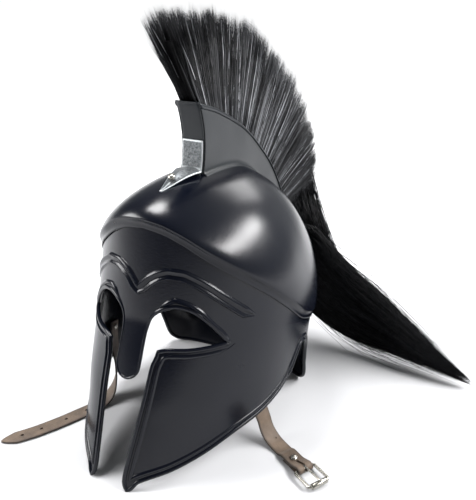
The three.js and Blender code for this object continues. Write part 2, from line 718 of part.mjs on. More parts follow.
// Each strap's upper end hangs inside its cheek, clear of the sheet and of the rolled edge.
const rootInset = SHEET + CLEARANCE + STRAP_SHEET / 2 + 0.8;
const edgeInset = SHEET / 2 + EDGE_ROLL + CLEARANCE + STRAP_SHEET / 2 + 1.0;
const ROOT_DROP = [
  { y: -0.25, down: 0.30, inset: rootInset },
  { y: -0.25, down: 0.38, inset: rootInset },
  { y: -0.252, down: 0.47, inset: lerp(rootInset, edgeInset, 0.5) },
  { y: -0.256, down: 0.545, inset: edgeInset },
];
const rootRows = (sign) => ROOT_DROP.map(({ y, down, inset }) => {
  const centre = rested(onSide(CHEEK_REACH * y, -CHEEK_DROP * down, -inset));
  return {
    centre: centre.multiply(point(sign, 1, 1)),
    across: heading(90 - sign * 16),
    width: STRAP_WIDTH,
  };
});

// The left strap goes out to the buckle, round its bar and back under itself.
const leftTurn = -28;
const barPlace = point(LEFT_REACH, -LEFT_REACH * 0.515, 0);
const leftAlong = heading(leftTurn);
const leftAcross = heading(leftTurn + 90);
const onLeft = (s, w, z) => barPlace.clone().addScaledVector(leftAlong, s)
  .addScaledVector(leftAcross, w).setZ(z);
const foldRadius = BUCKLE_WIRE / 2 + CLEARANCE + STRAP_SHEET / 2;
const barLevel = lyingLevel + foldRadius;
const upperLevel = lyingLevel + STRAP_SHEET + CLEARANCE;
const leftRow = (s, z) => ({ centre: onLeft(s, 0, z), across: leftAcross, width: STRAP_WIDTH });
const LEFT_HANG = [
  { out: 0.632, forward: 0.347, up: 0.30, turn: 73 },
  { out: 0.668, forward: 0.362, up: 0.16, turn: 70 },
  { out: 0.722, forward: 0.378, up: 0.06, turn: 66 },
];
const leftStrap = [
  ...rootRows(1),
  ...LEFT_HANG.map(({ out, forward, up, turn }) => ({
    centre: point(LEFT_REACH * out, -LEFT_REACH * forward, STRAP_ROOT_HEIGHT * up),
    across: heading(turn),
    width: STRAP_WIDTH,
  })),
  leftRow(-FLAP_LENGTH - 9, lyingLevel),
  leftRow(-FLAP_LENGTH - 5, lyingLevel + 0.4),
  leftRow(-FLAP_LENGTH - 1, upperLevel),
  leftRow(-FLAP_LENGTH / 2, upperLevel + 0.1),
  leftRow(-6, barLevel + foldRadius * 0.45),
  leftRow(-2, barLevel + foldRadius * 0.96),
  ...[90, 45, 0, -45, -90].map((turn) => leftRow(
    foldRadius * cos(rad(turn)), barLevel + foldRadius * sin(rad(turn)))),
  leftRow(-8, lyingLevel),
  leftRow(-FLAP_LENGTH + 3, lyingLevel),
];
const prongSlot = prism([
  [-SLOT_BACK, -1], [foldRadius * 2, -1], [foldRadius * 2, 12], [-SLOT_BACK, 12],
], 'y', -PRONG_WIRE / 2 - 0.5, PRONG_WIRE / 2 + 0.5);
const atBar = new THREE.Matrix4().makeTranslation(barPlace)
  .multiply(new THREE.Matrix4().makeRotationZ(rad(leftTurn)));
const flapRivetPlace = onLeft(-SLOT_BACK - RIVET_HEAD / 2 - 1, 0, 0);
const rivetHole = (place, axis) => turned([
  [0, -8], [RIVET_SHANK / 2 + CLEARANCE, -8], [RIVET_SHANK / 2 + CLEARANCE, 8], [0, 8],
], 12, place, axis);
const rivet = (place, axis, from, to) => turned([
  [0, from], [RIVET_SHANK / 2, from], [RIVET_SHANK / 2, to], [RIVET_HEAD / 2, to],
  [RIVET_HEAD / 2, to + 0.6], [RIVET_HEAD * 0.3, to + 1.4], [0, to + 1.6],
], 12, place, axis);
const [rootStart, rootNext] = rootRows(1);
const rootPlace = rootStart.centre.clone().lerp(rootNext.centre, 0.5);
const rootAxis = rootNext.centre.clone().sub(rootStart.centre).cross(rootStart.across).normalize();
if (rootAxis.x > 0) rootAxis.negate();
const rootRivet = rivet(rootPlace, rootAxis,
  -(rootInset - SHEET - 2.4 * CLEARANCE), STRAP_SHEET / 2 + CLEARANCE);
const strapLeft = strip(leftStrap, STRAP_SHEET)
  .subtract(moved(prongSlot, atBar))
  .subtract(rivetHole(flapRivetPlace, point(0, 0, 1)))
  .subtract(rivetHole(rootPlace, rootAxis));
const flapRivet = rivet(flapRivetPlace, point(0, 0, 1), STRAP_LIFT + 0.1,
  upperLevel + STRAP_SHEET / 2 + CLEARANCE + 0.1);

// The right strap falls inside the cheek, passes under its edge and ends in a point.
const RIGHT_LIE = [
  { out: 0.480, forward: 0.325, up: 0.46, turn: 118 },
  { out: 0.452, forward: 0.395, up: 0.20, turn: 132 },
  { out: 0.448, forward: 0.470, up: 0.065, turn: 146 },
  { out: 0.468, forward: 0.560, up: 0, turn: 157 },
  { out: 0.500, forward: 0.650, up: 0, turn: 158 },
  { out: 0.548, forward: 0.770, up: 0, turn: 156 },
  { out: 0.606, forward: 0.890, up: 0, turn: 152 },
  { out: 0.652, forward: 0.965, up: 0, turn: 148 },
  { out: 0.712, forward: 1.050, up: 0, turn: 146 },
];
const rightStrap = [
  ...rootRows(-1).slice(0, 3),
  ...RIGHT_LIE.map(({ out, forward, up, turn }, i) => ({
    centre: point(-RIGHT_REACH * out, -RIGHT_REACH * forward,
      Math.max(STRAP_ROOT_HEIGHT * up, lyingLevel)),
    across: heading(turn),
    width: i === RIGHT_LIE.length - 1 ? 1 : STRAP_WIDTH,
  })),
];
const punched = [3.6, 4.7, 5.8, 6.9].map((k) => {
  const i = Math.floor(k) + 3;
  const centre = rightStrap[i].centre.clone().lerp(rightStrap[i + 1].centre, k % 1);
  return turned([[0, -6], [PUNCH / 2, -6], [PUNCH / 2, 6], [0, 6]], 10, centre, point(0, 0, 1));
});
const mirrorX = (p) => p.clone().multiply(point(-1, 1, 1));
const strapRight = punched.reduce((sum, hole) => sum.subtract(hole),
  strip(rightStrap, STRAP_SHEET).subtract(rivetHole(mirrorX(rootPlace), mirrorX(rootAxis))));

// Buckle: frame, prong and roller, drawn flat along X and then turned to the strap
const armHalf = (BUCKLE_WIDTH - BUCKLE_WIRE) / 2;
const CORNER = 2.5;
const frameLoop = [[0, -1], [1, -1], [1, 1], [0, 1]].flatMap(([far, w]) => [15, 45, 75].map((a) => {
  const start = far ? (w < 0 ? 270 : 0) : (w < 0 ? 180 : 90);
  const turn = rad(start + a);
  return point((far ? BUCKLE_LENGTH - CORNER : CORNER) + CORNER * cos(turn),
    w * (armHalf - CORNER) + CORNER * sin(turn), barLevel);
}));
const buckleFrame = moved(rod(frameLoop, BUCKLE_WIRE / 2, 10, true), atBar);
const rollerBore = BUCKLE_WIRE / 2 + CLEARANCE;
const rollerHalf = armHalf - CORNER - CLEARANCE;
const rollerPlace = point(BUCKLE_LENGTH, 0, barLevel);
const roller = moved(turned([
  [rollerBore, -rollerHalf], [ROLLER_OUTER / 2, -rollerHalf],
  [ROLLER_OUTER / 2, rollerHalf], [rollerBore, rollerHalf], [rollerBore, -rollerHalf],
], 16, rollerPlace, point(0, 1, 0)), atBar);
const eyeRadius = BUCKLE_WIRE / 2 + CLEARANCE + PRONG_WIRE / 2;
const prongTop = barLevel + ROLLER_OUTER / 2 + CLEARANCE + PRONG_WIRE / 2;
const prongLine = [
  ...[-40, -75, -110, -145, 180, 145, 110].map((a) => point(
    eyeRadius * cos(rad(a)), 0, barLevel + eyeRadius * sin(rad(a)))),
  point(1.5, 0, barLevel + eyeRadius + 0.2),
  point(BUCKLE_LENGTH * 0.5, 0, lerp(barLevel + eyeRadius, prongTop, 0.7)),
  point(BUCKLE_LENGTH, 0, prongTop + 0.1),
  point(BUCKLE_LENGTH + ROLLER_OUTER / 2, 0, prongTop - 0.3),
];
const prong = moved(rod(prongLine, PRONG_WIRE / 2, 8, false, () => point(0, 1, 0)), atBar);

const parts = {
  face_shell: [faceShell, 0x10141a, 0.35, 0.8],
  skull_cap: [skullCap, 0x141a20, 0.3, 0.8],
  crest_holder: [crestBox, 0x1b2228, 0.35, 0.8],
  crest_bracket: [bracket, 0x20262c, 0.35, 0.8],
  bracket_screw: [screw, 0x9a9c9c, 0.3, 1],
  plume_brush: [brush, 0x0c0c0e, 0.8, 0],
  plume_mane: [tail, 0x0a0a0b, 0.8, 0],
  strap_left: [strapLeft, 0x5d5148, 0.7, 0],
  strap_right: [strapRight, 0x5d5148, 0.7, 0],
  strap_rivet_left: [rootRivet, 0xb4b4b0, 0.3, 1],
  strap_rivet_right: [mirrored(rootRivet), 0xb4b4b0, 0.3, 1],
  flap_rivet: [flapRivet, 0xb4b4b0, 0.3, 1],
  buckle_frame: [buckleFrame, 0xb4b4b0, 0.3, 1],
  buckle_roller: [roller, 0xb4b4b0, 0.3, 1],
  buckle_prong: [prong, 0xb4b4b0, 0.3, 1],
};
const group = new THREE.Group();
for (const [name, [solid, color, roughness, metalness]] of Object.entries(parts)) {
  const mesh = new THREE.Mesh(geometryFrom(solid),
    new THREE.MeshStandardMaterial({ color, roughness, metalness }));
  mesh.name = name;
  group.add(mesh);
}
// The origin is the middle of the whole part's box, on the surface that it lies on.
const box = new THREE.Box3().setFromObject(group);
group.position.set(-(box.min.x + box.max.x) / 2, -(box.min.y + box.max.y) / 2, 0);
export default group;
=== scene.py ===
"""Looks of the plumed helmet: black painted steel, horsehair, leather straps and a nickel buckle."""

import math

import bmesh
import bpy
import numpy as np
from mathutils import Matrix, Vector


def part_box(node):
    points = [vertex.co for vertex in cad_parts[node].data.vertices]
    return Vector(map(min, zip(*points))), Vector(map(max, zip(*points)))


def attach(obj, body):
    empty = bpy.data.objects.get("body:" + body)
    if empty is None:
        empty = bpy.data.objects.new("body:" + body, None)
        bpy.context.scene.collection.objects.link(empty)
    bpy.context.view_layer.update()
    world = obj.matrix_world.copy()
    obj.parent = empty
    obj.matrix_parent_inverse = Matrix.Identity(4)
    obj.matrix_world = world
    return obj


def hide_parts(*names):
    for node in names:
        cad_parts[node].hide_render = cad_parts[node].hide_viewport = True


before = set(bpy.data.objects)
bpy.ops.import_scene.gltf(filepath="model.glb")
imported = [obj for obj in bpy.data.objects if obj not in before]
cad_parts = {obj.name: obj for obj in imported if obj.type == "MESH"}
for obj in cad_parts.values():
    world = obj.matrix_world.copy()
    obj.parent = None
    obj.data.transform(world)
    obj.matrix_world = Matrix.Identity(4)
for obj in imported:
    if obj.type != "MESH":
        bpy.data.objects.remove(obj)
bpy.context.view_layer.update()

MM = 0.001
TINY = 1e-9
SHARP = 38
STRAP_SHARP = 50

# Head shell in millimetres, drawn upright round the head and then leant back, as in the solids
HALF_WIDTH = 105
FACE_DEPTH = 126
NAPE_DEPTH = 134
CROWN = 143
CHEEK_DROP = 149
CHEEK_REACH = 147
GUARD_DROP = 89
GUARD_DEPTH = 92
SHEET = 1.2
EDGE_ROLL = 2.1
CLEARANCE = 0.3
SEAT_FLAT = 0.8
NASAL_WIDTH = 24
NASAL_DROP = 51
EYE_SPAN = 152
EYE_RISE = 20
BROW_RISE = 51
BROW_SPAN = 176
LID_RISE = 25.5

# Cap, crest holder and bracket
CAP_PEAK = 92
CAP_BAND = 8.5
CAP_FLARE = 2.6
CAP_BEAK = 3.4
BEAK_SPREAD = 22
CREST_WIDTH = 25
CREST_TOP = 194
CREST_BACK = 150
CREST_SHEET = 1.2
FOOT_FLANGE = 4
BRACKET_SHEET = 1.2
BRACKET_WIDTH = 22
BRACKET_RISE = 28
TAB_REACH = 46
TAB_FOLD = 3.5
TAB_FLARE = 0.42
SCREW_Y = -TAB_REACH * 0.62 - 60
FOOT_SPREAD = 1.12
SEAT_SINK = 0.5

# Plume
BRUSH_TOP = 280
BRUSH_BACK = 226
BRUSH_TIP_WIDTH = 42
TAIL_SPAN = 262
TAIL_SWAY = 36
TAIL_FALL = 56
TAIL_DEPTH = 20
TAIL_SEAT = 0.47

# Straps and buckle
STRAP_WIDTH = 17
STRAP_SHEET = 2
LEFT_REACH = 148
RIGHT_REACH = 178
STRAP_ROOT_HEIGHT = 72
FLAP_LENGTH = 24
BUCKLE_WIDTH = 25
BUCKLE_LENGTH = 22
BUCKLE_WIRE = 3
ROLLER_OUTER = 5.4
PRONG_WIRE = 1.8

# Shell under its widest line: level, side, face, behind, nape, and the powers of face and nape
SECTIONS = [
    (1.10, 0.86, 1.190, 1.00, 0.72, 1.85, 4.0),
    (0.85, 0.90, 1.150, 1.00, 0.70, 1.90, 4.0),
    (0.60, 0.93, 1.108, 0.99, 0.70, 1.95, 4.0),
    (0.42, 0.96, 1.075, 0.97, 0.74, 2.0, 3.2),
    (0.22, 0.98, 1.040, 0.98, 0.87, 2.0, 2.4),
    (0.0, 1.0, 1.0, 1.0, 1.0, 2.0, 2.0),
]
# Cap rim: turn from the nose in degrees, and level
RIM = [
    (0, 1), (8, 0.975), (16, 0.91), (27, 0.78), (41, 0.63),
    (59, 0.45), (74, 0.29), (94, 0.10), (120, 0.02), (180, 0),
]
# Eye hole and cheek edge: how far out, and how far up or down
LID = [
    (0.0, -0.70), (0.01, -0.20), (0.05, 0.30), (0.14, 0.66), (0.27, 0.90),
    (0.41, 1.0), (0.60, 0.85), (0.79, 0.38), (0.94, -0.20), (1.0, -0.45),
]
UNDER_EYE = [(0.88, -0.62), (0.79, -0.72), (0.60, -0.87), (0.34, -0.98), (0.23, -1.10)]
CHEEK_FRONT = [
    (0.174, 0.175), (0.158, 0.24), (0.148, 0.43), (0.132, 0.64),
    (0.112, 0.88), (0.112, 0.95), (0.125, 0.985),
]
# Lower edge from the side: how far forward or back, and how far down
JAW = [
    (0.99, 1.0), (0.965, 0.985), (0.93, 0.94), (0.81, 0.855), (0.66, 0.765), (0.48, 0.66),
    (0.24, 0.555), (0.09, 0.46), (-0.02, 0.36), (-0.075, 0.27), (-0.12, 0.195), (-0.19, 0.185),
]
GUARD = [(0.42, 0.36), (0.52, 0.46), (0.66, 0.70), (0.80, 0.93), (0.88, 1.0)]
# Embossed brow and lid lines
BROW = [
    (0.0, 0.64), (0.045, 0.72), (0.11, 0.83), (0.20, 0.93), (0.32, 1.0), (0.43, 1.0),
    (0.54, 0.94), (0.65, 0.84), (0.76, 0.70), (0.88, 0.53), (1.0, 0.33),
]
LID_LINE = [
    (0.20, 0.64), (0.31, 0.87), (0.41, 1.0), (0.55, 0.94),
    (0.71, 0.71), (0.86, 0.29), (0.97, -0.02), (1.05, -0.36),
]
# Crest from front to back: share, foot, back, up, and the brush's tip back and up
CREST = [
    (0.0, -0.40, -0.533, 1.0, -0.66, 0.90),
    (0.1, -0.31, -0.38, 0.995, -0.50, 0.958),
    (0.2, -0.20, -0.193, 0.974, -0.31, 0.99),
    (0.3, -0.05, 0.02, 0.938, -0.07, 1.0),
    (0.4, 0.10, 0.187, 0.892, 0.15, 0.96),
    (0.5, 0.25, 0.367, 0.825, 0.36, 0.91),
    (0.6, 0.40, 0.527, 0.758, 0.56, 0.845),
    (0.7, 0.54, 0.693, 0.663, 0.76, 0.74),
    (0.8, 0.66, 0.827, 0.564, 0.90, 0.61),
    (0.9, 0.76, 0.933, 0.454, 0.98, 0.45),
    (1.0, 0.83, 1.0, 0.371, 1.0, 0.28),
]
# Mane: share, out, back, down, half height and half depth
TAIL = [
    (0.0, 0.00, 0.00, 0.00, 0.18, 0.24),
    (0.125, 0.09, 0.18, 0.30, 0.80, 0.55),
    (0.25, 0.21, 0.13, 0.34, 0.98, 0.72),
    (0.375, 0.34, -0.04, 0.515, 0.83, 0.80),
    (0.5, 0.48, -0.20, 0.60, 0.73, 0.80),
    (0.625, 0.63, -0.32, 0.69, 0.50, 0.72),
    (0.75, 0.76, -0.40, 0.795, 0.28, 0.58),
    (0.875, 0.90, -0.54, 0.89, 0.11, 0.36),
    (1.0, 1.00, -0.62, 0.945, 0.03, 0.12),
]


def lerp(a, b, t):
    return a + (b - a) * t


def lookup(rows, x, column=1):
    """Smooth value of a table's column where its first column holds x."""
    sign = 1 if rows[-1][0] > rows[0][0] else -1
    keys = [sign * row[0] for row in rows]
    t = sign * x
    last = len(rows) - 1
    if t <= keys[0]:
        return rows[0][column]
    if t >= keys[last]:
        return rows[last][column]
    i = next(k for k in range(1, last + 1) if keys[k] > t) - 1

    def slope(a, b):
        return (rows[b][column] - rows[a][column]) / (keys[b] - keys[a])

    def tangent(k):
        if k == 0:
            return slope(0, 1)
        if k == last:
            return slope(last - 1, last)
        before = slope(k - 1, k)
        after = slope(k, k + 1)
        return 0 if before * after <= 0 else 2 * before * after / (before + after)

    h = keys[i + 1] - keys[i]
    s = (t - keys[i]) / h
    a = rows[i][column]
    b = rows[i + 1][column]
    bend = h * s * (1 - s) * (tangent(i) * (1 - s) - tangent(i + 1) * s)
    return a * (1 + 2 * s) * (1 - s) ** 2 + b * s * s * (3 - 2 * s) + bend


# The lean that seats the cheek tips and the neck guard, and the place of the head in the frame
TIP_Y = -CHEEK_REACH * JAW[0][0]
TIP_Z = -CHEEK_DROP - EDGE_ROLL
LEAN = math.atan2(-GUARD_DROP - EDGE_ROLL - TIP_Z, GUARD_DEPTH - TIP_Y)
SEAT_HEIGHT = TIP_Y * math.sin(LEAN) - TIP_Z * math.cos(LEAN) - SEAT_FLAT
SHELL_FRONT = 176.56
shell_low, shell_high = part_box("face_shell")
HEAD_X = (shell_low.x + shell_high.x) / 2
HEAD_Y = shell_low.y + SHELL_FRONT * MM


def lying(x, y, z):
    """A point in millimetres over the surface that the helmet lies on, in the frame's metres."""
    return Vector((x * MM + HEAD_X, y * MM + HEAD_Y, z * MM))


def rested(p):
    """A point of the upright head in millimetres, leant back, in the frame's metres."""
    y = p[1] * math.cos(LEAN) + p[2] * math.sin(LEAN)
    z = SEAT_HEIGHT - p[1] * math.sin(LEAN) + p[2] * math.cos(LEAN)
    return lying(p[0], y, z)


def shell_radius(turn, level):
    share = max(-level / CHEEK_DROP, 0)
    facing = math.cos(turn) > 0
    side = HALF_WIDTH * lookup(SECTIONS, share, 1 if facing else 3)
    deepest = FACE_DEPTH if facing else NAPE_DEPTH
    depth = deepest * lookup(SECTIONS, share, 2 if facing else 4)
    power = lookup(SECTIONS, share, 5 if facing else 6)
    across = abs(math.sin(turn) / side) ** power
    return (across + abs(math.cos(turn) / depth) ** power) ** (-1 / power)


def shell_point(turn, level, lift=0.0):
    r = shell_radius(turn, level) + lift
    return Vector((r * math.sin(turn), -r * math.cos(turn), level))


def on_shell(p, lift=0.0):
    """The shell's point in the same direction and at the same level as p."""
    return shell_point(math.atan2(p[0], -p[1]), p[2], lift)


def shell_normal(p):
    turn = math.atan2(p[0], -p[1])
    step = 0.01
    round_way = shell_point(turn + step, p[2]) - shell_point(turn - step, p[2])
    up_way = shell_point(turn, p[2] + 1) - shell_point(turn, p[2] - 1)
    return round_way.cross(up_way).normalized()


def turn_where(level, value, axis):
    """The turn at which the shell reaches x in front (axis 0) or y at the left side (axis 1)."""
    low = 0
    high = math.radians(90 if axis == 0 else 180)
    for _ in range(40):
        middle = (low + high) / 2
        if shell_point(middle, level)[axis] < value:
            low = middle
        else:
            high = middle
    return (low + high) / 2


def on_front(x, level, lift=0.0):
    turn = turn_where(level, abs(x), 0)
    return shell_point(-turn if x < 0 else turn, level, lift)


def on_side(y, level, lift=0.0):
    return shell_point(turn_where(level, y, 1), level, lift)


def degrees_from_nose(turn):
    return abs(math.degrees(math.atan2(math.sin(turn), math.cos(turn))))


def rim_level(turn):
    return CAP_PEAK * lookup(RIM, degrees_from_nose(turn))


def cap_crease(turn):
    beak = CAP_BEAK * math.exp(-((degrees_from_nose(turn) / BEAK_SPREAD) ** 2))
    return rim_level(turn), shell_radius(turn, 0) + CLEARANCE + SHEET + CAP_FLARE + beak


def dome_power(level):
    return 2 - 0.5 * math.sqrt(max(level, 0) / CAP_PEAK)


def dome_point(turn, rise):
    level, radius = cap_crease(turn)
    power = 2 / dome_power(level)
    r = radius * max(math.cos(rise), 0) ** power
    z = level + (CROWN - level) * math.sin(rise) ** power
    return Vector((r * math.sin(turn), -r * math.cos(turn), z))


def dome_level(x, y):
    level, radius = cap_crease(math.atan2(x, -y))
    power = dome_power(level)
    rise = math.acos(min((math.hypot(x, y) / radius) ** (power / 2), 1))
    return level + (CROWN - level) * math.sin(rise) ** (2 / power)


def span_ends(points, i):
    """Both ends of a line's span, each followed by the tangent that its neighbours give it."""
    before = points[max(i - 1, 0)]
    a = points[i]
    b = points[i + 1]
    after = points[min(i + 2, len(points) - 1)]
    length = (b - a).length
    span = max(length, TINY)
    lead = (b - before) * (span / max(length + (a - before).length, TINY))
    trail = (after - a) * (span / max(length + (after - b).length, TINY))
    return a, lead, b, trail


def hermite(ends, s):
    a, lead, b, trail = ends
    return (a * (2 * s**3 - 3 * s**2 + 1) + lead * (s**3 - 2 * s**2 + s)
            + b * (-2 * s**3 + 3 * s**2) + trail * (s**3 - s**2))


def spline(points, spacing):
    """Smooth points through a few, about one spacing apart."""
    made = []
    for i in range(len(points) - 1):
        ends = span_ends(points, i)
        steps = max(round((points[i + 1] - points[i]).length / spacing), 1)
        made += [hermite(ends, k / steps) for k in range(steps)]
    return made + [points[-1].copy()]


def cornered_spline(points, spacing, sharpest=48):
    """The same, with a corner kept where the way turns by more than the sharpest angle."""
    runs = [[points[0]]]
    for i in range(1, len(points) - 1):
        runs[-1].append(points[i])
        before = points[i] - points[i - 1]
        after = points[i + 1] - points[i]
        if math.degrees(before.angle(after)) > sharpest:
            runs.append([points[i]])
    runs[-1].append(points[-1])
    made = []
    for run in runs:
        made += spline(run, spacing)[:-1]
    return made + [points[-1].copy()]


def grid_sheet(columns, rows, place):
    """A grid whose points are placed by two shares, along and up."""
    bm = bmesh.new()
    bmesh.ops.create_grid(bm, x_segments=columns, y_segments=rows, size=0.5)
    for v in bm.verts:
        v.co = place(v.co.x + 0.5, v.co.y + 0.5)
    bmesh.ops.remove_doubles(bm, verts=bm.verts, dist=1e-6)
    bmesh.ops.dissolve_degenerate(bm, edges=bm.edges, dist=1e-7)
    bmesh.ops.recalc_face_normals(bm, faces=bm.faces)
    return bm


def swept(frames, section, shares=None):
    """A section of across and up pairs, carried along frames of place, side and lift."""
    def place(u, v):
        k = round(u * (len(frames) - 1))
        centre, side, lift = frames[k]
        across, up = section[round(v * (len(section) - 1))]
        share = 1 if shares is None else shares[k]
        return centre + side * (across * share * MM) + lift * (up * share * MM)

    return grid_sheet(len(frames) - 1, len(section) - 1, place)


def close_ends(bm):
    bmesh.ops.holes_fill(bm, edges=[e for e in bm.edges if e.is_boundary], sides=0)
    bmesh.ops.recalc_face_normals(bm, faces=bm.faces)


def circle(radius, sides):
    turns = [2 * math.pi * k / sides for k in range(sides)]
    ring = [(radius * math.cos(t), radius * math.sin(t)) for t in turns]
    return ring + [ring[0]]


def turned(profile, steps):
    """Radius and height pairs in millimetres, turned round the upright axis."""
    bm = bmesh.new()
    line = [bm.verts.new((r, 0, h)) for r, h in profile]
    edges = [bm.edges.new((line[k], line[k + 1])) for k in range(len(line) - 1)]
    bmesh.ops.spin(
        bm, geom=line + edges, cent=(0, 0, 0), axis=(0, 0, 1), angle=2 * math.pi, steps=steps,
        use_merge=True)
    bmesh.ops.remove_doubles(bm, verts=bm.verts, dist=1e-4)
    return bm


def upright_to(axis):
    """The rotation that takes the upright axis to another one."""
    return Vector((0, 0, 1)).rotation_difference(axis).to_matrix()


def join(*parts):
    """One bmesh of several."""
    whole = bmesh.new()
    for bm in parts:
        mesh = bpy.data.meshes.new("joining")
        bm.to_mesh(mesh)
        bm.free()
        whole.from_mesh(mesh)
        bpy.data.meshes.remove(mesh)
    return whole


def with_mirror(bm):
    """The same shape and its mirror image on the wearer's other side."""
    both = bmesh.ops.duplicate(bm, geom=list(bm.verts) + list(bm.edges) + list(bm.faces))
    copied = [g for g in both["geom"] if isinstance(g, bmesh.types.BMVert)]
    bmesh.ops.scale(bm, vec=(-1, 1, 1), verts=copied, space=Matrix.Translation((-HEAD_X, 0, 0)))
    faces = [g for g in both["geom"] if isinstance(g, bmesh.types.BMFace)]
    bmesh.ops.reverse_faces(bm, faces=faces)
    return bm


def face_outward(bm, far, out):
    """Turns all faces over if the one farthest along one way doesn't look the other way out."""
    face = max(bm.faces, key=lambda f: f.calc_center_median().dot(Vector(far)))
    if face.normal.dot(Vector(out)) < 0:
        bmesh.ops.reverse_faces(bm, faces=bm.faces)


def loose_object(name, bm):
    mesh = bpy.data.meshes.new(name)
    bm.to_mesh(mesh)
    bm.free()
    made = bpy.data.objects.new(name, mesh)
    bpy.context.scene.collection.objects.link(made)
    return made


def smooth(mesh, sharp):
    mesh.polygons.foreach_set("use_smooth", [True] * len(mesh.polygons))
    mesh.set_sharp_from_angle(angle=math.radians(sharp))


def made_object(name, bm, material, body, nodes, sharp=SHARP):
    made = loose_object(name, bm)
    smooth(made.data, sharp)
    made.data.materials.append(material)
    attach(made, body)
    if nodes:
        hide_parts(*nodes)
    return made


def steel_object(name, bm, paint, node_name, sharp=SHARP):
    return made_object(name, bm, paint, "helmet", [node_name], sharp)


def hair_solid(name, bm, hair, node_name, sharp=SHARP):
    return made_object(name, bm, hair, "helmet", [node_name], sharp)


def set_attribute(made, name, values):
    """One number for each point, which the piece's material reads by this name."""
    layer = made.data.attributes.new(name, "FLOAT", "POINT")
    layer.data.foreach_set("value", np.array(values, dtype=np.float32))


def thickened(made, thickness, offset=-1.0):
    wall = made.modifiers.new("wall", "SOLIDIFY")
    wall.thickness = thickness * MM
    wall.offset = offset
    wall.use_even_offset = True
    return made


def applied(made):
    """The object with its modifiers built into its mesh."""
    seen = made.evaluated_get(bpy.context.evaluated_depsgraph_get())
    mesh = bpy.data.meshes.new_from_object(seen)
    made.modifiers.clear()
    old = made.data
    made.data = mesh
    bpy.data.meshes.remove(old)
    mesh.name = made.name
    return made


def cutter(outline, along, start, end):
    """A prism of an outline in the upright head's millimetres, leant back as the head is."""
    bm = bmesh.new()
    if along == "y":
        flat = [Vector((a, start, b)) for a, b in outline]
        way = Vector((0, end - start, 0))
    else:
        flat = [Vector((start, a, b)) for a, b in outline]
        way = Vector((end - start, 0, 0))
    face = [bm.faces.new([bm.verts.new(p) for p in flat])]
    raised = bmesh.ops.extrude_face_region(bm, geom=face, use_keep_orig=True)
    verts = [g for g in raised["geom"] if isinstance(g, bmesh.types.BMVert)]
    bmesh.ops.translate(bm, vec=way, verts=verts)
    for v in bm.verts:
        v.co = rested(v.co)
    bmesh.ops.recalc_face_normals(bm, faces=bm.faces)
    return bm


def cut_away(made, cutters):
    """Takes the cutters out of the object and removes them."""
    for tool in cutters:
        cut = made.modifiers.new("cut", "BOOLEAN")
        cut.operation = "DIFFERENCE"
        cut.solver = "EXACT"
        cut.object = tool
    applied(made)
    for tool in cutters:
        mesh = tool.data
        bpy.data.objects.remove(tool)
        bpy.data.meshes.remove(mesh)
    return made


def linear(code):
    """An sRGB hex colour as linear RGBA."""
    parts = [int(code[i:i + 2], 16) / 255 for i in (1, 3, 5)]
    return [c / 12.92 if c <= 0.04045 else ((c + 0.055) / 1.055) ** 2.4 for c in parts] + [1.0]


def connect(tree, made, links):
    """Gives each input a value or another node's output."""
    for key, value in links.items():
        if isinstance(value, bpy.types.NodeSocket):
            tree.links.new(value, made.inputs[key])
        else:
            made.inputs[key].default_value = value


def node(tree, kind, links=None, **settings):
    """Adds a node with its settings and inputs."""
    made = tree.nodes.new(kind)
    for key, value in settings.items():
        setattr(made, key, value)
    connect(tree, made, links or {})
    return made


def noise(tree, place, size, detail, **more):
    """Noise with a pattern of about this size in millimetres."""
    links = {"Vector": place, "Scale": 1000 / size, "Detail": detail, **more}
    return node(tree, "ShaderNodeTexNoise", links).outputs["Fac"]


def mapped(tree, value, low, high, to_low=0.0, to_high=1.0, **settings):
    """One range of a value stretched over another."""
    links = {"Value": value, "From Min": low, "From Max": high, "To Min": to_low, "To Max": to_high}
    return node(tree, "ShaderNodeMapRange", links, **settings).outputs["Result"]


def blend(tree, factor, a, b):
    links = {"Factor": factor, "A": a, "B": b}
    return node(tree, "ShaderNodeMix", links, data_type="RGBA").outputs["Result"]


def added(tree, a, b):
    return node(tree, "ShaderNodeMath", {0: a, 1: b}, operation="ADD").outputs["Value"]


def bump(tree, height, strength, depth, **more):
    """The normal of a pattern this many millimetres deep."""
    links = {"Height": height, "Strength": strength, "Distance": depth * MM, **more}
    return node(tree, "ShaderNodeBump", links).outputs["Normal"]


def attribute(tree, name):
    return node(tree, "ShaderNodeAttribute", attribute_name=name).outputs["Fac"]


def started(name):
    """A new material with its tree, its shader and the piece's own coordinates."""
    material = bpy.data.materials.new(name)
    material.use_nodes = True
    tree = material.node_tree
    tree.nodes.clear()
    shader = node(tree, "ShaderNodeBsdfPrincipled")
    node(tree, "ShaderNodeOutputMaterial", {"Surface": shader.outputs["BSDF"]})
    place = node(tree, "ShaderNodeTexCoord")
    return material, tree, shader, place.outputs["Object"]


def painted_steel(name, colour, roughness, grain_mm, grain_depth, dent_depth):
    """Sprayed gloss enamel on hammered sheet: orange peel at the grain size over slow dents."""
    material, tree, shader, place = started(name)
    dents = bump(tree, noise(tree, place, 34, 1.5), 1.0, dent_depth)
    smear = noise(tree, place, 60, 4.0)
    connect(tree, shader, {
        "Base Color": linear(colour),
        "IOR": 1.36,
        "Roughness": mapped(tree, smear, 0.3, 0.7, roughness * 0.8, roughness * 1.25),
        "Normal": bump(tree, noise(tree, place, grain_mm, 2.0), 1.0, grain_depth, Normal=dents),
    })
    return material


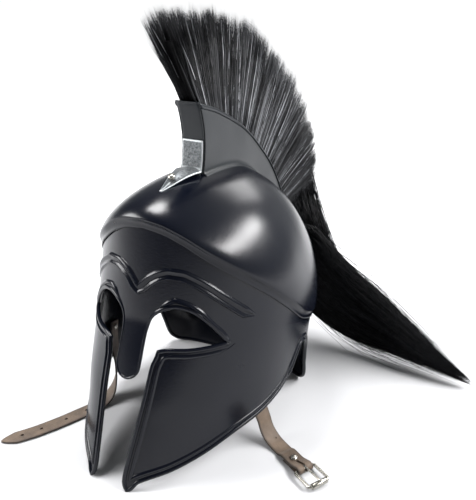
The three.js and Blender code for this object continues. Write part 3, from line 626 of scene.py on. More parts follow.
def worn_steel(name):
    """Cut sheet steel under thin black lacquer, rubbed back to bright metal along its edges."""
    material, tree, shader, place = started(name)
    scuff = noise(tree, place, 2.2, 6.0, Roughness=0.7)
    bare = mapped(tree, added(tree, attribute(tree, "wear"), scuff), 0.44, 1.15)
    connect(tree, shader, {
        "Base Color": blend(tree, bare, linear("#2c3034"), linear("#b4b8ba")),
        "Metallic": 0.6,
        "Roughness": mapped(tree, scuff, 0.3, 0.7, 0.32, 0.5),
        "Normal": bump(tree, scuff, 0.8, 0.3),
    })
    return material


def nickel_plate(name):
    """Polished nickel plate with fine handling scratches, a little yellow-grey in its reflections."""
    material, tree, shader, place = started(name)
    stretch = node(tree, "ShaderNodeMapping", {"Vector": place, "Scale": (1.0, 1.0, 7.0)})
    scratch = noise(tree, stretch.outputs["Vector"], 1.6, 5.0, Roughness=0.65)
    connect(tree, shader, {
        "Base Color": linear("#a3a098"),
        "Metallic": 1.0,
        "Roughness": mapped(tree, scratch, 0.35, 0.7, 0.16, 0.38),
        "Normal": bump(tree, scratch, 0.4, 0.05),
    })
    return material


def horsehair(name, dark, light):
    """Dyed horsehair: near black, each hair with its own shade, and a low gloss along it. On the brush the
    shade also carries a painted sheen across the middle of the fan.
    """
    material, tree, shader, place = started(name)
    connect(tree, shader, {
        "Base Color": blend(tree, attribute(tree, "shade"), linear(dark), linear(light)),
        "Roughness": mapped(tree, noise(tree, place, 9, 3.0), 0.3, 0.7, 0.32, 0.5),
        "IOR": 1.55,
        "Specular IOR Level": 0.08,
    })
    return material


def tanned_leather(name):
    """Vegetable-tanned strap leather: taupe grain side, pores, slow stains and dark rubbed edges."""
    material, tree, shader, place = started(name)
    stain = noise(tree, place, 14, 6.0, Roughness=0.6)
    body = blend(tree, mapped(tree, stain, 0.33, 0.68), linear("#4b3c2f"), linear("#6c5a49"))
    rubbed = mapped(tree, attribute(tree, "edge"), 0.72, 0.98, 0.0, 0.85)
    pores = node(tree, "ShaderNodeTexVoronoi", {
        "Vector": place, "Scale": 1000 / 1.3,
    }, feature="DISTANCE_TO_EDGE")
    creases = mapped(tree, pores.outputs["Distance"], 0.0, 0.12)
    connect(tree, shader, {
        "Base Color": blend(tree, rubbed, body, linear("#2a2019")),
        "Roughness": 0.58,
        "Sheen Weight": 0.15,
        "Normal": bump(tree, added(tree, creases, noise(tree, place, 0.9, 3.0)), 0.6, 0.12),
    })
    return material


shell_paint = painted_steel("gloss black enamel", "#060913", 0.22, 1.6, 0.055, 0.14)
crest_paint = painted_steel("satin black enamel", "#14181c", 0.34, 1.6, 0.045, 0.1)
bracket_steel = worn_steel("rubbed sheet steel")
nickel = nickel_plate("nickel plate")
brush_hair = horsehair("brush horsehair", "#040406", "#a4a6ab")
mane_hair = horsehair("mane horsehair", "#020203", "#2c2d31")
leather = tanned_leather("strap leather")

# Outline of the left half: nasal, lid, under the eye, cheek front, jaw, notch and neck guard
NASAL_HALF = NASAL_WIDTH / 2
EYE_HALF = EYE_SPAN / 2


def eye_x(out):
    return lerp(NASAL_HALF, EYE_HALF, out)


def half_outline():
    front = []
    for k in range(7):
        turn = math.radians(15 * k)
        front.append((NASAL_HALF * math.sin(turn), -NASAL_DROP + NASAL_HALF * (1 - math.cos(turn))))
    front += [(eye_x(out), EYE_RISE * up) for out, up in LID]
    front += [(eye_x(out), EYE_RISE * up) for out, up in UNDER_EYE]
    front += [(EYE_SPAN * out, -CHEEK_DROP * down) for out, down in CHEEK_FRONT]
    points = [on_front(x, z) for x, z in front]
    tip_x = front[-1][0]
    for forward, down in JAW:
        y = -CHEEK_REACH * forward
        z = -CHEEK_DROP * down
        if y < -CHEEK_REACH * 0.9:
            points.append(on_front(lerp(tip_x, 32, (y + CHEEK_REACH) / (CHEEK_REACH * 0.1)), z))
        else:
            points.append(on_side(y, z))
    points += [on_side(GUARD_DEPTH * back, -GUARD_DROP * down) for back, down in GUARD]
    start = turn_where(-GUARD_DROP, GUARD_DEPTH * GUARD[-1][0], 1)
    points += [shell_point(lerp(start, math.pi, s), -GUARD_DROP) for s in (0.15, 0.3, 0.45, 0.6, 0.8, 1.0)]
    made = cornered_spline(points, 2.5)
    tip = min(range(len(made)), key=lambda k: (made[k] - points[len(front)]).length)
    return [on_shell(p) for p in made], tip


edge_line, tip_index = half_outline()


def edge_frames(points, loop):
    """Place, side towards the sheet and lift off the sheet at each point of an edge."""
    frames = []
    count = len(points)
    for k, p in enumerate(points):
        before = points[(k - 1) % count if loop else max(k - 1, 0)]
        after = points[(k + 1) % count if loop else min(k + 1, count - 1)]
        lift = shell_normal(p)
        side = lift.cross((after - before).normalized()).normalized()
        frames.append((p, side, lift))
    return frames


def in_frame(frames, sink=0.0):
    """Frames of the upright head, leant back."""
    made = []
    for p, side, lift in frames:
        centre = rested(p - lift * sink)
        tip = rested(p - lift * sink + side) - centre
        up = rested(p - lift * sink + lift) - centre
        made.append((centre, tip.normalized(), up.normalized()))
    return made


def shell_wall():
    """Curved sheet of the face, cut to its openings."""
    floor_level = -CHEEK_DROP - 8

    def place(u, v):
        turn = -math.pi + 2 * math.pi * u
        return rested(shell_point(turn, lerp(floor_level, rim_level(turn) + 3, v)))

    bm = grid_sheet(132, 64, place)
    centre = sum((v.co for v in bm.verts), Vector()) / len(bm.verts)
    face = max(bm.faces, key=lambda f: (f.calc_center_median() - centre).length)
    if face.normal.dot(face.calc_center_median() - centre) < 0:
        bmesh.ops.reverse_faces(bm, faces=bm.faces)
    wall = steel_object("face_shell_sheet", bm, shell_paint, "face_shell")
    thickened(wall, SHEET)
    front = [(p.x, p.z) for p in edge_line[:tip_index + 1]]
    deep = floor_level - 20
    mirrored = [(-x, z) for x, z in reversed(front)]
    hole = front + [(front[-1][0], deep), (-front[-1][0], deep)] + mirrored[:-1]
    lower = [(p.y, p.z) for p in edge_line[tip_index:] if p.y < GUARD_DEPTH * GUARD[-1][0]]
    jaw = [(-CHEEK_REACH * 1.3, -CHEEK_DROP)] + lower + [
        (GUARD_DEPTH, -GUARD_DROP), (NAPE_DEPTH * 1.3, -GUARD_DROP),
        (NAPE_DEPTH * 1.3, deep), (-CHEEK_REACH * 1.3, deep),
    ]
    tools = [
        loose_object("face_cut", cutter(hole, "y", -CHEEK_REACH * 1.4, -FACE_DEPTH * 0.2)),
        loose_object("jaw_cut", cutter(jaw, "x", -HALF_WIDTH * 1.5, HALF_WIDTH * 1.5)),
    ]
    cut_away(wall, tools)
    smooth(wall.data, SHARP)
    return wall


def shell_edge():
    """Wire-rolled edge round the whole outline, thinner down the nasal."""
    whole = edge_line + [Vector((-p.x, p.y, p.z)) for p in reversed(edge_line[1:-1])]
    whole.append(whole[0])
    frames = edge_frames(whole[:-1], True)
    frames.append(frames[0])
    shares = []
    for p in whole:
        nasal = abs(p.x) < NASAL_HALF + 6 and p.z > -NASAL_DROP - 4 and p.y < -FACE_DEPTH * 0.8
        shares.append(0.62 if nasal else 1.0)
    for _ in range(4):
        following = shares[1:] + shares[:1]
        shares = [(shares[k - 1] + shares[k] + following[k]) / 3 for k in range(len(shares))]
    shares[-1] = shares[0]
    bm = swept(in_frame(frames, SHEET / 2), circle(EDGE_ROLL, 12), shares)
    for v in bm.verts:
        v.co.z = max(v.co.z, 0)
    return steel_object("shell_rolled_edge", bm, shell_paint, "face_shell")


def border_line():
    """The embossed line that follows the cheek's edge a little way in, clear of its corners."""
    eye_corner = on_front(eye_x(1.0), -EYE_RISE * 0.45)
    start = min(range(len(edge_line)), key=lambda k: (edge_line[k] - eye_corner).length)
    inset = 5.4
    kept = []
    for p, side, _ in edge_frames(edge_line, False)[start:]:
        q = on_shell(p + side * inset)
        nearest = min((q - e).length for e in edge_line)
        if nearest > inset * 0.965:
            kept.append(q)
    return kept


def border_bead():
    line = border_line()
    both = []
    for sign in (1, -1):
        points = [Vector((p.x * sign, p.y, p.z)) for p in line]
        frames = edge_frames(points, False)
        if sign < 0:
            frames = [(p, -side, lift) for p, side, lift in frames]
        section = [(-2.0, -0.4), (-1.7, 0.35), (-0.9, 1.05), (0, 1.3), (0.9, 1.0), (1.8, 0.3), (2.3, -0.4)]
        shares = [min(1, 0.25 + k / 6, 0.25 + (len(points) - 1 - k) / 6) for k in range(len(points))]
        both.append(swept(in_frame(frames), section, shares))
    return steel_object("cheek_border_line", join(*both), shell_paint, "face_shell")


def ridge_frames(points):
    """Frames along an embossed line, with the side pointing down the face."""
    frames = []
    for p, side, lift in edge_frames(points, False):
        frames.append((p, side if side.z < 0 else -side, lift))
    return frames


def brow_ridges():
    """Double brow, its two beads with a groove between, and one bead over each lid."""
    section = [
        (-2.7, -0.5), (-2.0, 0.7), (-0.9, 1.75), (0.3, 1.95), (1.4, 1.35), (2.6, 0.35), (3.8, 0.05),
        (4.9, 0.45), (6.0, 1.25), (7.1, 1.45), (8.0, 0.85), (8.8, -0.5),
    ]
    lid_section = [(-2.6, -0.5), (-1.9, 0.8), (-0.7, 1.8), (0.5, 1.85), (1.6, 0.95), (2.6, -0.5)]
    made = []
    for sign in (1, -1):
        count = 64
        brow = []
        for k in range(count + 1):
            out = k / count
            brow.append(on_front(sign * BROW_SPAN / 2 * out, BROW_RISE * lookup(BROW, out)))
        shares = [min(1.0, 0.35 + (count - k) / 5) for k in range(count + 1)]
        frames = ridge_frames(brow)
        first = frames[0]
        frames[0] = (first[0], Vector((0, first[1].y, first[1].z)).normalized(), first[2])
        made.append(swept(in_frame(frames), section, shares))
        lid = []
        for k in range(49):
            out = lerp(LID_LINE[0][0], LID_LINE[-1][0], k / 48)
            lid.append(on_front(sign * (eye_x(out) - 3), LID_RISE * lookup(LID_LINE, out)))
        shares = [min(1.0, 0.2 + k / 8, 0.4 + (48 - k) / 5) for k in range(49)]
        made.append(swept(in_frame(ridge_frames(lid)), lid_section, shares))
    return steel_object("brow_and_lid_ridges", join(*made), shell_paint, "face_shell")


def cap_dome():
    """Skull cap: a hollow band, a rounded crease and the dome with its front keel."""
    band_rows = 5
    dome_rows = 40

    def profile(turn):
        level, radius = cap_crease(turn)
        foot = shell_radius(turn, level - CAP_BAND) + CLEARANCE + SHEET
        seat = shell_radius(turn, level - CAP_BAND * 0.82) + CLEARANCE + SHEET
        rows = [(foot, level - CAP_BAND)]
        for k in range(band_rows):
            s = k / band_rows
            hollow = -0.7 * math.sin(math.pi * s)
            rows.append((lerp(seat, radius, s ** 1.25) + hollow, level - CAP_BAND * 0.82 * (1 - s)))
        before = rows[-1]
        crest_point = (radius, level)
        first = dome_point(turn, math.radians(2.2))
        after = (math.hypot(first.x, first.y), first.z)
        for s in (0.25, 0.5, 0.75):
            rows.append(tuple(
                before[i] * (1 - s) ** 2 + crest_point[i] * 2 * s * (1 - s) + after[i] * s * s
                for i in (0, 1)))
        for k in range(dome_rows + 1):
            p = dome_point(turn, math.radians(lerp(2.2, 90, k / dome_rows)))
            rows.append((math.hypot(p.x, p.y) if k < dome_rows else 0.0, p.z))
        return rows

    columns = 150
    rows_at = {}

    def place(u, v):
        k = round(u * columns) % columns
        turn = -math.pi + 2 * math.pi * k / columns
        if k not in rows_at:
            rows_at[k] = profile(turn)
        r, z = rows_at[k][round(v * (band_rows + dome_rows + 4))]
        return rested((r * math.sin(turn), -r * math.cos(turn), z))

    bm = grid_sheet(columns, band_rows + dome_rows + 4, place)
    face_outward(bm, (0, 0, 1), (0, 0, 1))
    cap = steel_object("cap_sheet", bm, shell_paint, "skull_cap", 50)
    return thickened(cap, SHEET)


def crest_row(u):
    return [lookup(CREST, u, c) for c in range(1, 6)]


def crest_place(u, v, x):
    """Place on the crest's side plate in the upright head: v runs from its foot up."""
    foot_share, back, up, _, _ = crest_row(u)
    foot = NAPE_DEPTH * foot_share * FOOT_SPREAD
    base = dome_level(x, foot) - SEAT_SINK
    hollow = 1 + 1.5 * (1 - u) ** 6
    return Vector((x, lerp(foot, CREST_BACK * back, v ** hollow), lerp(base, CREST_TOP * up, v)))


CREST_HALF = CREST_WIDTH / 2


def crest_sides():
    """Side plates with a foot that spreads on the dome and a bead along the top edge."""
    rows = [
        (0.0, FOOT_FLANGE + 0.6, 0.9), (0.0, 2.8, 1.1), (0.0, 1.4, 1.8), (0.0, 0.5, 3.2), (0.03, 0.0, 4.2),
        (0.14, 0.0, 2.0), (0.26, 0.0, 0.0), (0.4, 0.0, 0.0), (0.55, 0.0, 0.0), (0.7, 0.0, 0.0),
        (0.82, 0.0, 0.0),
        (0.915, 0.0, 0.0), (0.93, 0.1, 0.0), (0.94, 0.8, 0.0), (0.952, 1.3, 0.0), (0.968, 1.45, 0.0),
        (0.982, 1.3, 0.0), (0.994, 0.8, 0.0), (1.0, 0.0, 0.3), (1.0, -0.8, 0.3),
    ]

    def place(u, v):
        share, push, up = rows[round(v * (len(rows) - 1))]
        p = crest_place(u, share, CREST_HALF + (push if share == 0 else 0))
        if share > 0:
            p.x += push
        p.z += up
        return rested(p)

    bm = grid_sheet(60, len(rows) - 1, place)
    face_outward(bm, (1, 0, 0), (1, 0, 0))
    plates = steel_object("crest_side_plates", with_mirror(bm), crest_paint, "crest_holder")
    return thickened(plates, CREST_SHEET * 0.8)


def crest_ends():
    """Curved plate at each end, with a turned lip along its top."""
    sheets = []
    for u, way in ((0.0, -1), (1.0, 1)):
        def place(across, v, u=u, way=way):
            p = crest_place(u, min(v * 1.02, 1), CREST_HALF)
            p.x *= 2 * across - 1
            if v > 0.93:
                p.y += way * 0.9 * (v - 0.93) / 0.07
            return rested(p)

        bm = grid_sheet(8, 28, place)
        face_outward(bm, (0, 0, 1), (0, way, 0))
        sheets.append(bm)
    ends = steel_object("crest_end_plates", join(*sheets), crest_paint, "crest_holder")
    return thickened(ends, CREST_SHEET)


BRACKET_HALF = BRACKET_WIDTH / 2
crest_foot = NAPE_DEPTH * CREST[0][1] * FOOT_SPREAD
crest_base = dome_level(CREST_HALF, crest_foot) - SEAT_SINK
BEND_LEVEL = crest_base + SEAT_SINK + 3


def plate_front(z):
    top = CREST_TOP * CREST[0][3]
    v = min(max((z - crest_base) / (top - crest_base), 0), 1)
    return lerp(crest_foot, CREST_BACK * CREST[0][2], v ** 2.5)


def bracket_plate():
    """One piece of sheet: a rectangle up the front plate, bent into a keeled triangle on the dome."""
    rise_rows = 14
    tab_rows = 26
    across_columns = 16
    tab_start = plate_front(BEND_LEVEL) - CLEARANCE

    def place(u, v):
        across = 2 * u - 1
        row = round(v * (rise_rows + tab_rows))
        if row >= tab_rows:
            z = BEND_LEVEL + BRACKET_RISE * (row - tab_rows) / rise_rows
            return rested((BRACKET_HALF * across, plate_front(z) - CLEARANCE - BRACKET_SHEET, z))
        share = 1 - row / tab_rows
        flare = 1 + TAB_FLARE * min(share / 0.1, 1)
        half = lerp(BRACKET_HALF * flare, 1.2, share)
        x = half * across
        y = tab_start - TAB_REACH * share - BRACKET_SHEET * 0.5
        fold = TAB_FOLD * (1 - abs(across)) * math.sin(math.pi * min(share + 0.25, 1))
        z = lerp(dome_level(x, y), BEND_LEVEL, (1 - share) ** 2)
        return rested((x, y, z + fold + BRACKET_SHEET))

    bm = grid_sheet(across_columns, rise_rows + tab_rows, place)
    face_outward(bm, (0, 0, 1), (0, -1, 0))
    plate = steel_object("bracket_plate", bm, bracket_steel, "crest_bracket", 28)
    bend = rested((0, tab_start, BEND_LEVEL))
    worn = [0.0] * len(plate.data.vertices)
    edge_keys = {}
    for polygon in plate.data.polygons:
        for key in polygon.edge_keys:
            edge_keys[key] = edge_keys.get(key, 0) + 1
    for key, uses in edge_keys.items():
        if uses == 1:
            worn[key[0]] = 1.0
            worn[key[1]] = 1.0
    for v in plate.data.vertices:
        near = abs(v.co.z - bend.z) / MM
        if v.co.z > bend.z:
            worn[v.index] = max(worn[v.index], 0.14)
        if near < 2.4 and v.co.y > bend.y - 4 * MM:
            worn[v.index] = max(worn[v.index], 0.75)
        if v.co.z < bend.z - 2 * MM and abs(v.co.x - HEAD_X) < 0.8 * MM:
            worn[v.index] = max(worn[v.index], 0.45)
    set_attribute(plate, "wear", worn)
    return thickened(plate, BRACKET_SHEET)


def bracket_screw():
    """Slotted pan-head screw through the tab."""
    seat = Vector((0, SCREW_Y, dome_level(0, SCREW_Y)))
    turn = upright_to(Vector((0, -0.75, 1)).normalized())
    head = [(0, 8.7), (1.6, 8.6), (2.7, 8.1), (3.3, 7.3), (3.5, 6.5), (3.4, 6.1), (1.7, 6.05), (1.7, -7)]
    bm = turned(head, 32)
    close_ends(bm)
    for v in bm.verts:
        v.co = rested(seat + turn @ v.co)
    screw = made_object("bracket_screw_head", bm, nickel, "helmet", ["bracket_screw"])
    slot_tool = bmesh.new()
    bmesh.ops.create_cube(slot_tool, size=1)
    slot_turn = Matrix.Rotation(math.radians(35), 3, "Z")
    for v in slot_tool.verts:
        v.co = rested(seat + turn @ slot_turn @ Vector((v.co.x * 9, v.co.y, v.co.z * 1.6 + 8.4)))
    cut_away(screw, [loose_object("slot_cut", slot_tool)])
    screw.data.set_sharp_from_angle(angle=math.radians(SHARP))
    return screw


shell_wall()
shell_edge()
border_bead()
brow_ridges()
cap_dome()
crest_sides()
crest_ends()
bracket_plate()
bracket_screw()

# Hair: each strand is a three-sided taper, and a piece holds two to eight thousand
STRANDS = 13
BRUSH_RINGS = 4
BRUSH_HAIR = 0.4
MANE_RINGS = 6
MANE_HAIR = 0.55
FALL_RINGS = 6
PALE_SHARE = 0.12
STRAY_SHARE = 0.012
LOOSE_SHARE = 0.12
MANE_LOCKS = 70
ROOT_DEPTH = 0.16
TABLE_STEPS = 200
rng = np.random.default_rng(11)


def strand_sheaf(rings, doublings):
    """Many copies of one strand: its ring is its height, its corner its place round the middle."""
    bm = bmesh.new()
    corners = [bm.verts.new((math.cos(t), math.sin(t), 0)) for t in (0.0, 2 * math.pi / 3, 4 * math.pi / 3)]
    top = [bm.faces.new(corners)]
    for _ in range(rings - 1):
        root = top[0].calc_center_median().z < 0.5
        raised = bmesh.ops.extrude_face_region(bm, geom=top, use_keep_orig=root)
        verts = [g for g in raised["geom"] if isinstance(g, bmesh.types.BMVert)]
        top = [g for g in raised["geom"] if isinstance(g, bmesh.types.BMFace)]
        bmesh.ops.translate(bm, vec=(0, 0, 1), verts=verts)
    tip = list(top[0].verts)
    bmesh.ops.pointmerge(bm, verts=tip, merge_co=(0, 0, rings - 1))
    bmesh.ops.recalc_face_normals(bm, faces=bm.faces)
    for _ in range(doublings):
        bmesh.ops.duplicate(bm, geom=list(bm.verts) + list(bm.edges) + list(bm.faces))
    return bm


def unit(vectors):
    return vectors / np.maximum(np.linalg.norm(vectors, axis=-1, keepdims=True), 1e-12)


def hair_object(name, lines, widths, shades, material, node_name):
    """Strands along the lines, an array of strand, ring and place in metres."""
    count, rings, _ = lines.shape
    bm = strand_sheaf(rings, round(math.log2(count)))
    made = hair_solid(name, bm, material, node_name, 180)
    mesh = made.data
    flat = np.empty(len(mesh.vertices) * 3)
    mesh.vertices.foreach_get("co", flat)
    base = flat.reshape(count, -1, 3)
    ring = np.rint(base[:, :, 2]).astype(int)
    strand = np.arange(count)[:, None]
    along = unit(np.gradient(lines, axis=1))
    guide = unit(np.cross(along, np.array([0.31, 0.22, 0.93])))
    other = np.cross(along, guide)
    wide = widths[:, :, None]
    placed = lines[strand, ring] + wide[strand, ring] * (
        base[:, :, 0:1] * guide[strand, ring] + base[:, :, 1:2] * other[strand, ring])
    mesh.vertices.foreach_set("co", placed.ravel())
    set_attribute(made, "shade", np.repeat(shades, base.shape[1]))
    mesh.update()
    return made


CREST_ROWS = np.array([crest_row(k / TABLE_STEPS) for k in range(TABLE_STEPS + 1)])


def columns_at(rows, shares):
    """The five columns of an even table at an array of shares."""
    even = np.linspace(0, 1, len(rows))
    return [np.interp(shares, even, rows[:, c]) for c in range(5)]


def crest_at(u):
    return columns_at(CREST_ROWS, u)


def strand_widths(rings, power, width):
    """A strand's half widths from root to tip, in metres."""
    return np.linspace(1.0, 0.0, rings)[None, :] ** power * width * MM


def rested_array(p):
    y = p[..., 1] * math.cos(LEAN) + p[..., 2] * math.sin(LEAN)
    z = SEAT_HEIGHT - p[..., 1] * math.sin(LEAN) + p[..., 2] * math.cos(LEAN)
    return np.stack([p[..., 0] * MM + HEAD_X, y * MM + HEAD_Y, z * MM], axis=-1)


def uneven(u, seed, waves):
    """Slow random rise and fall along the brush, from minus one to one."""
    source = np.random.default_rng(seed)
    value = np.zeros_like(u)
    for k in range(waves):
        value += math.sqrt(0.5 ** k) * np.sin(u * (9 + 13 * k) + source.uniform(0, 2 * math.pi))
    return value / waves


def brush_piece(name, first, last):
    """Strands from the holder's edge to the fan's edge, gathered into tufts towards their ends."""
    count = 2 ** STRANDS
    tufts = round((last - first) * 900)
    tuft_u = rng.uniform(first, last, tufts)
    tuft_across = rng.uniform(-1, 1, tufts)
    tuft_across = np.sign(tuft_across) * np.abs(tuft_across) ** 0.45
    tuft_long = 0.965 + 0.025 * uneven(tuft_u, 3, 5) + rng.normal(0, 0.022, tufts)
    tuft_lean = rng.normal(0, 0.03, tufts)
    tuft_shade = rng.beta(0.8, 4.0, tufts)
    mine = rng.integers(0, tufts, count)
    u = np.clip(tuft_u[mine] + rng.normal(0, 0.009, count), first - 0.01, last + 0.01)
    across = np.clip(tuft_across[mine] + rng.normal(0, 0.16, count), -1, 1)
    held = rng.uniform(0.25, 0.9, count)
    u_end = u + held * (tuft_u[mine] - u)
    across_end = across + held * (tuft_across[mine] - across)
    long = tuft_long[mine] + rng.normal(0, 0.012, count)
    long -= rng.exponential(0.05, count) * (rng.uniform(0, 1, count) < 0.35)
    stray = rng.uniform(0, 1, count) < STRAY_SHARE
    long -= rng.exponential(0.06, count) * np.clip(1.6 - 14 * u, 0, 1)
    long = np.clip(np.where(stray, long + 0.04, long), 0.5, 1.05)
    lean = tuft_lean[mine] + rng.normal(0, 0.012, count)
    lean = lean + np.where(stray, rng.normal(0, 0.07, count), 0)
    _, back, up, _, _ = crest_at(u)
    _, _, _, tip_back, tip_up = crest_at(u_end)
    tip_y = BRUSH_BACK * tip_back
    tip_z = BRUSH_TOP * tip_up
    root_y = CREST_BACK * back - (tip_y - CREST_BACK * back) * ROOT_DEPTH
    root_z = CREST_TOP * up - (tip_z - CREST_TOP * up) * ROOT_DEPTH
    t = np.linspace(0, 1, BRUSH_RINGS)[None, :]
    way_y = (tip_y - root_y)[:, None]
    way_z = (tip_z - root_z)[:, None]
    reach = long[:, None] * t
    bend = (t ** 2) * lean[:, None]
    y = root_y[:, None] + way_y * reach - bend * way_z
    z = root_z[:, None] + way_z * reach + bend * way_y
    half = CREST_HALF - 2.6
    side = across[:, None] + (across_end - across)[:, None] * t
    rounded = np.clip(0.62 + (u - 0.02) * 5, 0, 1)[:, None]
    side = side * (1 - (1 - rounded) * np.sqrt(t))
    x = side * (half + (BRUSH_TIP_WIDTH / 2 - 1.0 - half) * np.clip(reach * 1.15, 0, 1) ** 1.2)
    lines = rested_array(np.stack([x, y, z], axis=-1))
    width = strand_widths(BRUSH_RINGS, 0.6, BRUSH_HAIR) * rng.uniform(0.6, 1.25, count)[:, None]
    pale = rng.uniform(0, 1, count) < PALE_SHARE
    width = width * np.where(pale | stray, 1.25, 1)[:, None]
    shades = np.where(pale, rng.uniform(0.2, 0.55, count), 0.04 * rng.uniform(0, 1, count))
    # Painted sheen: the pale strands are lighter across the middle of the fan and darker towards its front
    # and rear, standing in for the gloss that the light gives there
    painted_sheen = (0.25 + 0.75 * np.clip((u - 0.22) * 5, 0, 1)) * (1 - 0.7 * np.clip((u - 0.58) * 6, 0, 1))
    shades = np.where(stray, 1.0, shades * painted_sheen + 0.06 * tuft_shade[mine])
    return hair_object(name, lines, width, shades, brush_hair, "plume_brush")


def brush_core():
    """Packed middle of the brush, a little inside its strands."""
    def place(u, v):
        turn = 2 * math.pi * v
        side = math.cos(turn)
        share = 0.5 + 0.5 * math.sin(turn)
        inner = lerp(0.035, 0.965, u)
        _, back, up, tip_back, tip_up = crest_row(inner)
        top = Vector((0, CREST_BACK * back, CREST_TOP * up))
        tip = Vector((0, BRUSH_BACK * tip_back, BRUSH_TOP * tip_up))
        reach = lerp(-0.12, 0.7, share)
        p = top.lerp(tip, reach)
        half = lerp(CREST_HALF - 3.4, BRUSH_TIP_WIDTH / 2 - 5, max(reach, 0))
        p.x = half * math.copysign(abs(side) ** 0.6, side)
        return rested(p)

    bm = grid_sheet(90, 32, place)
    close_ends(bm)
    return hair_solid("brush_core", bm, brush_hair, "plume_brush")


def tail_rows():
    """The mane's middle line with its half height and depth, in the resting frame's millimetres."""
    seat = crest_place(1, 0.6, 0)
    y = seat.y * math.cos(LEAN) + seat.z * math.sin(LEAN)
    z = SEAT_HEIGHT - seat.y * math.sin(LEAN) + seat.z * math.cos(LEAN)
    z -= TAIL_FALL * TAIL[0][4] * TAIL_SEAT + CLEARANCE
    rows = []
    for k in range(TABLE_STEPS + 1):
        out, back, down, tall, deep = [lookup(TAIL, k / TABLE_STEPS, c) for c in range(1, 6)]
        rows.append((
            TAIL_SPAN * out, y + TAIL_SWAY * back, z - z * down, TAIL_FALL * tall, TAIL_DEPTH * deep))
    return np.array(rows)


TAIL_ROWS = tail_rows()


def tail_at(t):
    return columns_at(TAIL_ROWS, t)


def mane_piece(name, low, high, doublings, seed):
    """Long strands along the mane, in locks that cross a little and end one after another."""
    source = np.random.default_rng(seed)
    count = 2 ** doublings
    locks = MANE_LOCKS
    lock_turn = source.uniform(0, 2 * math.pi, locks)
    lock_out = source.uniform(low, high, locks)
    lock_drift = source.normal(0, 0.45, locks)
    lock_end = np.clip(source.normal(0.91, 0.07, locks), 0.7, 1.0)
    lock_shade = source.beta(0.8, 3.5, locks)
    mine = source.integers(0, locks, count)
    start = source.uniform(0.0, 0.4, count) * (source.uniform(0, 1, count) < 0.5)
    end = np.clip(lock_end[mine] - source.exponential(0.05, count), 0.5, 1.0)
    share = np.linspace(0, 1, MANE_RINGS)[None, :]
    t = start[:, None] + (end - start)[:, None] * share
    x, y, z, tall, deep = tail_at(t)
    angle = (lock_turn[mine] + source.normal(0, 0.42, count))[:, None]
    angle = angle + lock_drift[mine][:, None] * t ** 1.5
    angle = angle + source.normal(0, 0.12, count)[:, None] * share ** 2
    out = np.clip(lock_out[mine] + source.normal(0, 0.12, count), 0.1, 1.02) ** 0.5
    loose = source.uniform(0, 1, count) < LOOSE_SHARE
    flare = 1 + np.where(loose, source.exponential(0.4, count), 0)[:, None] * share ** 2
    wave = 0.03 * np.sin(5 * t + lock_turn[mine][:, None])
    px = x + deep * 0.25 * out[:, None] * np.sin(angle * 2) * share
    px = px + np.where(loose, source.normal(0, 7, count), 0)[:, None] * share ** 2
    py = y + deep * (out[:, None] * np.cos(angle) * flare + wave)
    pz = np.maximum(z + tall * (out[:, None] * np.sin(angle) * flare + wave), 0.9)
    lines = np.stack([px * MM + HEAD_X, py * MM + HEAD_Y, pz * MM], axis=-1)
    width = np.linspace(1.0, 0.0, MANE_RINGS)[None, :] ** 0.45 * MANE_HAIR
    width = width * (source.uniform(0.6, 1.2, count) * np.where(loose, 0.6, 1))[:, None] * MM
    shades = np.clip(lock_shade[mine] * 0.6 + source.beta(0.5, 4, count) * 0.8, 0, 1)
    return hair_object(name, lines, width, shades, mane_hair, "plume_mane")


def mane_fall():
    """Hair that falls from the rear end of the brush on to the mane."""
    source = np.random.default_rng(31)
    count = 2 ** 11
    u = source.uniform(0.84, 0.97, count)
    across = source.uniform(-1, 1, count)
    reach = source.uniform(0.0, 0.9, count) ** 0.8
    _, back, up, tip_back, tip_up = crest_at(u)
    y = CREST_BACK * back + (BRUSH_BACK * tip_back - CREST_BACK * back) * reach
    z = CREST_TOP * up + (BRUSH_TOP * tip_up - CREST_TOP * up) * reach
    half = CREST_HALF - 3
    first = rested_array(np.stack([across * half * (1 + 0.3 * reach), y, z], axis=-1))
    t = 0.06 + 0.34 * reach + source.normal(0, 0.03, count)
    mx, my, mz, tall, deep = tail_at(np.clip(t, 0.02, 0.6))
    turn = math.pi / 2 + source.normal(0, 0.7, count)
    last = np.stack([
        mx * MM + HEAD_X, (my + 0.85 * deep * np.cos(turn)) * MM + HEAD_Y,
        (mz + 0.9 * tall * np.sin(turn)) * MM,
    ], axis=-1)
    way = np.array([0.06, 0.10, -0.28])[None, :] * np.linalg.norm(last - first, axis=1)[:, None]
    middle = first + way + source.normal(0, 1.5, (count, 3)) * MM
    share = np.linspace(0, 1, FALL_RINGS)[None, :, None]
    lines = (first[:, None, :] * (1 - share) ** 2 + middle[:, None, :] * 2 * share * (1 - share)
             + last[:, None, :] * share ** 2)
    width = strand_widths(FALL_RINGS, 0.4, MANE_HAIR) * source.uniform(0.6, 1.2, count)[:, None]
    shades = np.clip(source.beta(0.7, 4, count), 0, 1)
    return hair_object("mane_fall", lines, width, shades, mane_hair, "plume_mane")


def mane_core():
    """Packed middle of the mane, a little inside its strands."""
    def place(u, v):
        x, y, z, tall, deep = [float(c) for c in tail_at(np.array(u * 0.9))]
        turn = 2 * math.pi * v
        low = max(z + 0.86 * tall * math.sin(turn), 1.0)
        return lying(x, y + 0.86 * deep * math.cos(turn), low)

    bm = grid_sheet(60, 24, place)
    close_ends(bm)
    return hair_solid("mane_core", bm, mane_hair, "plume_mane")


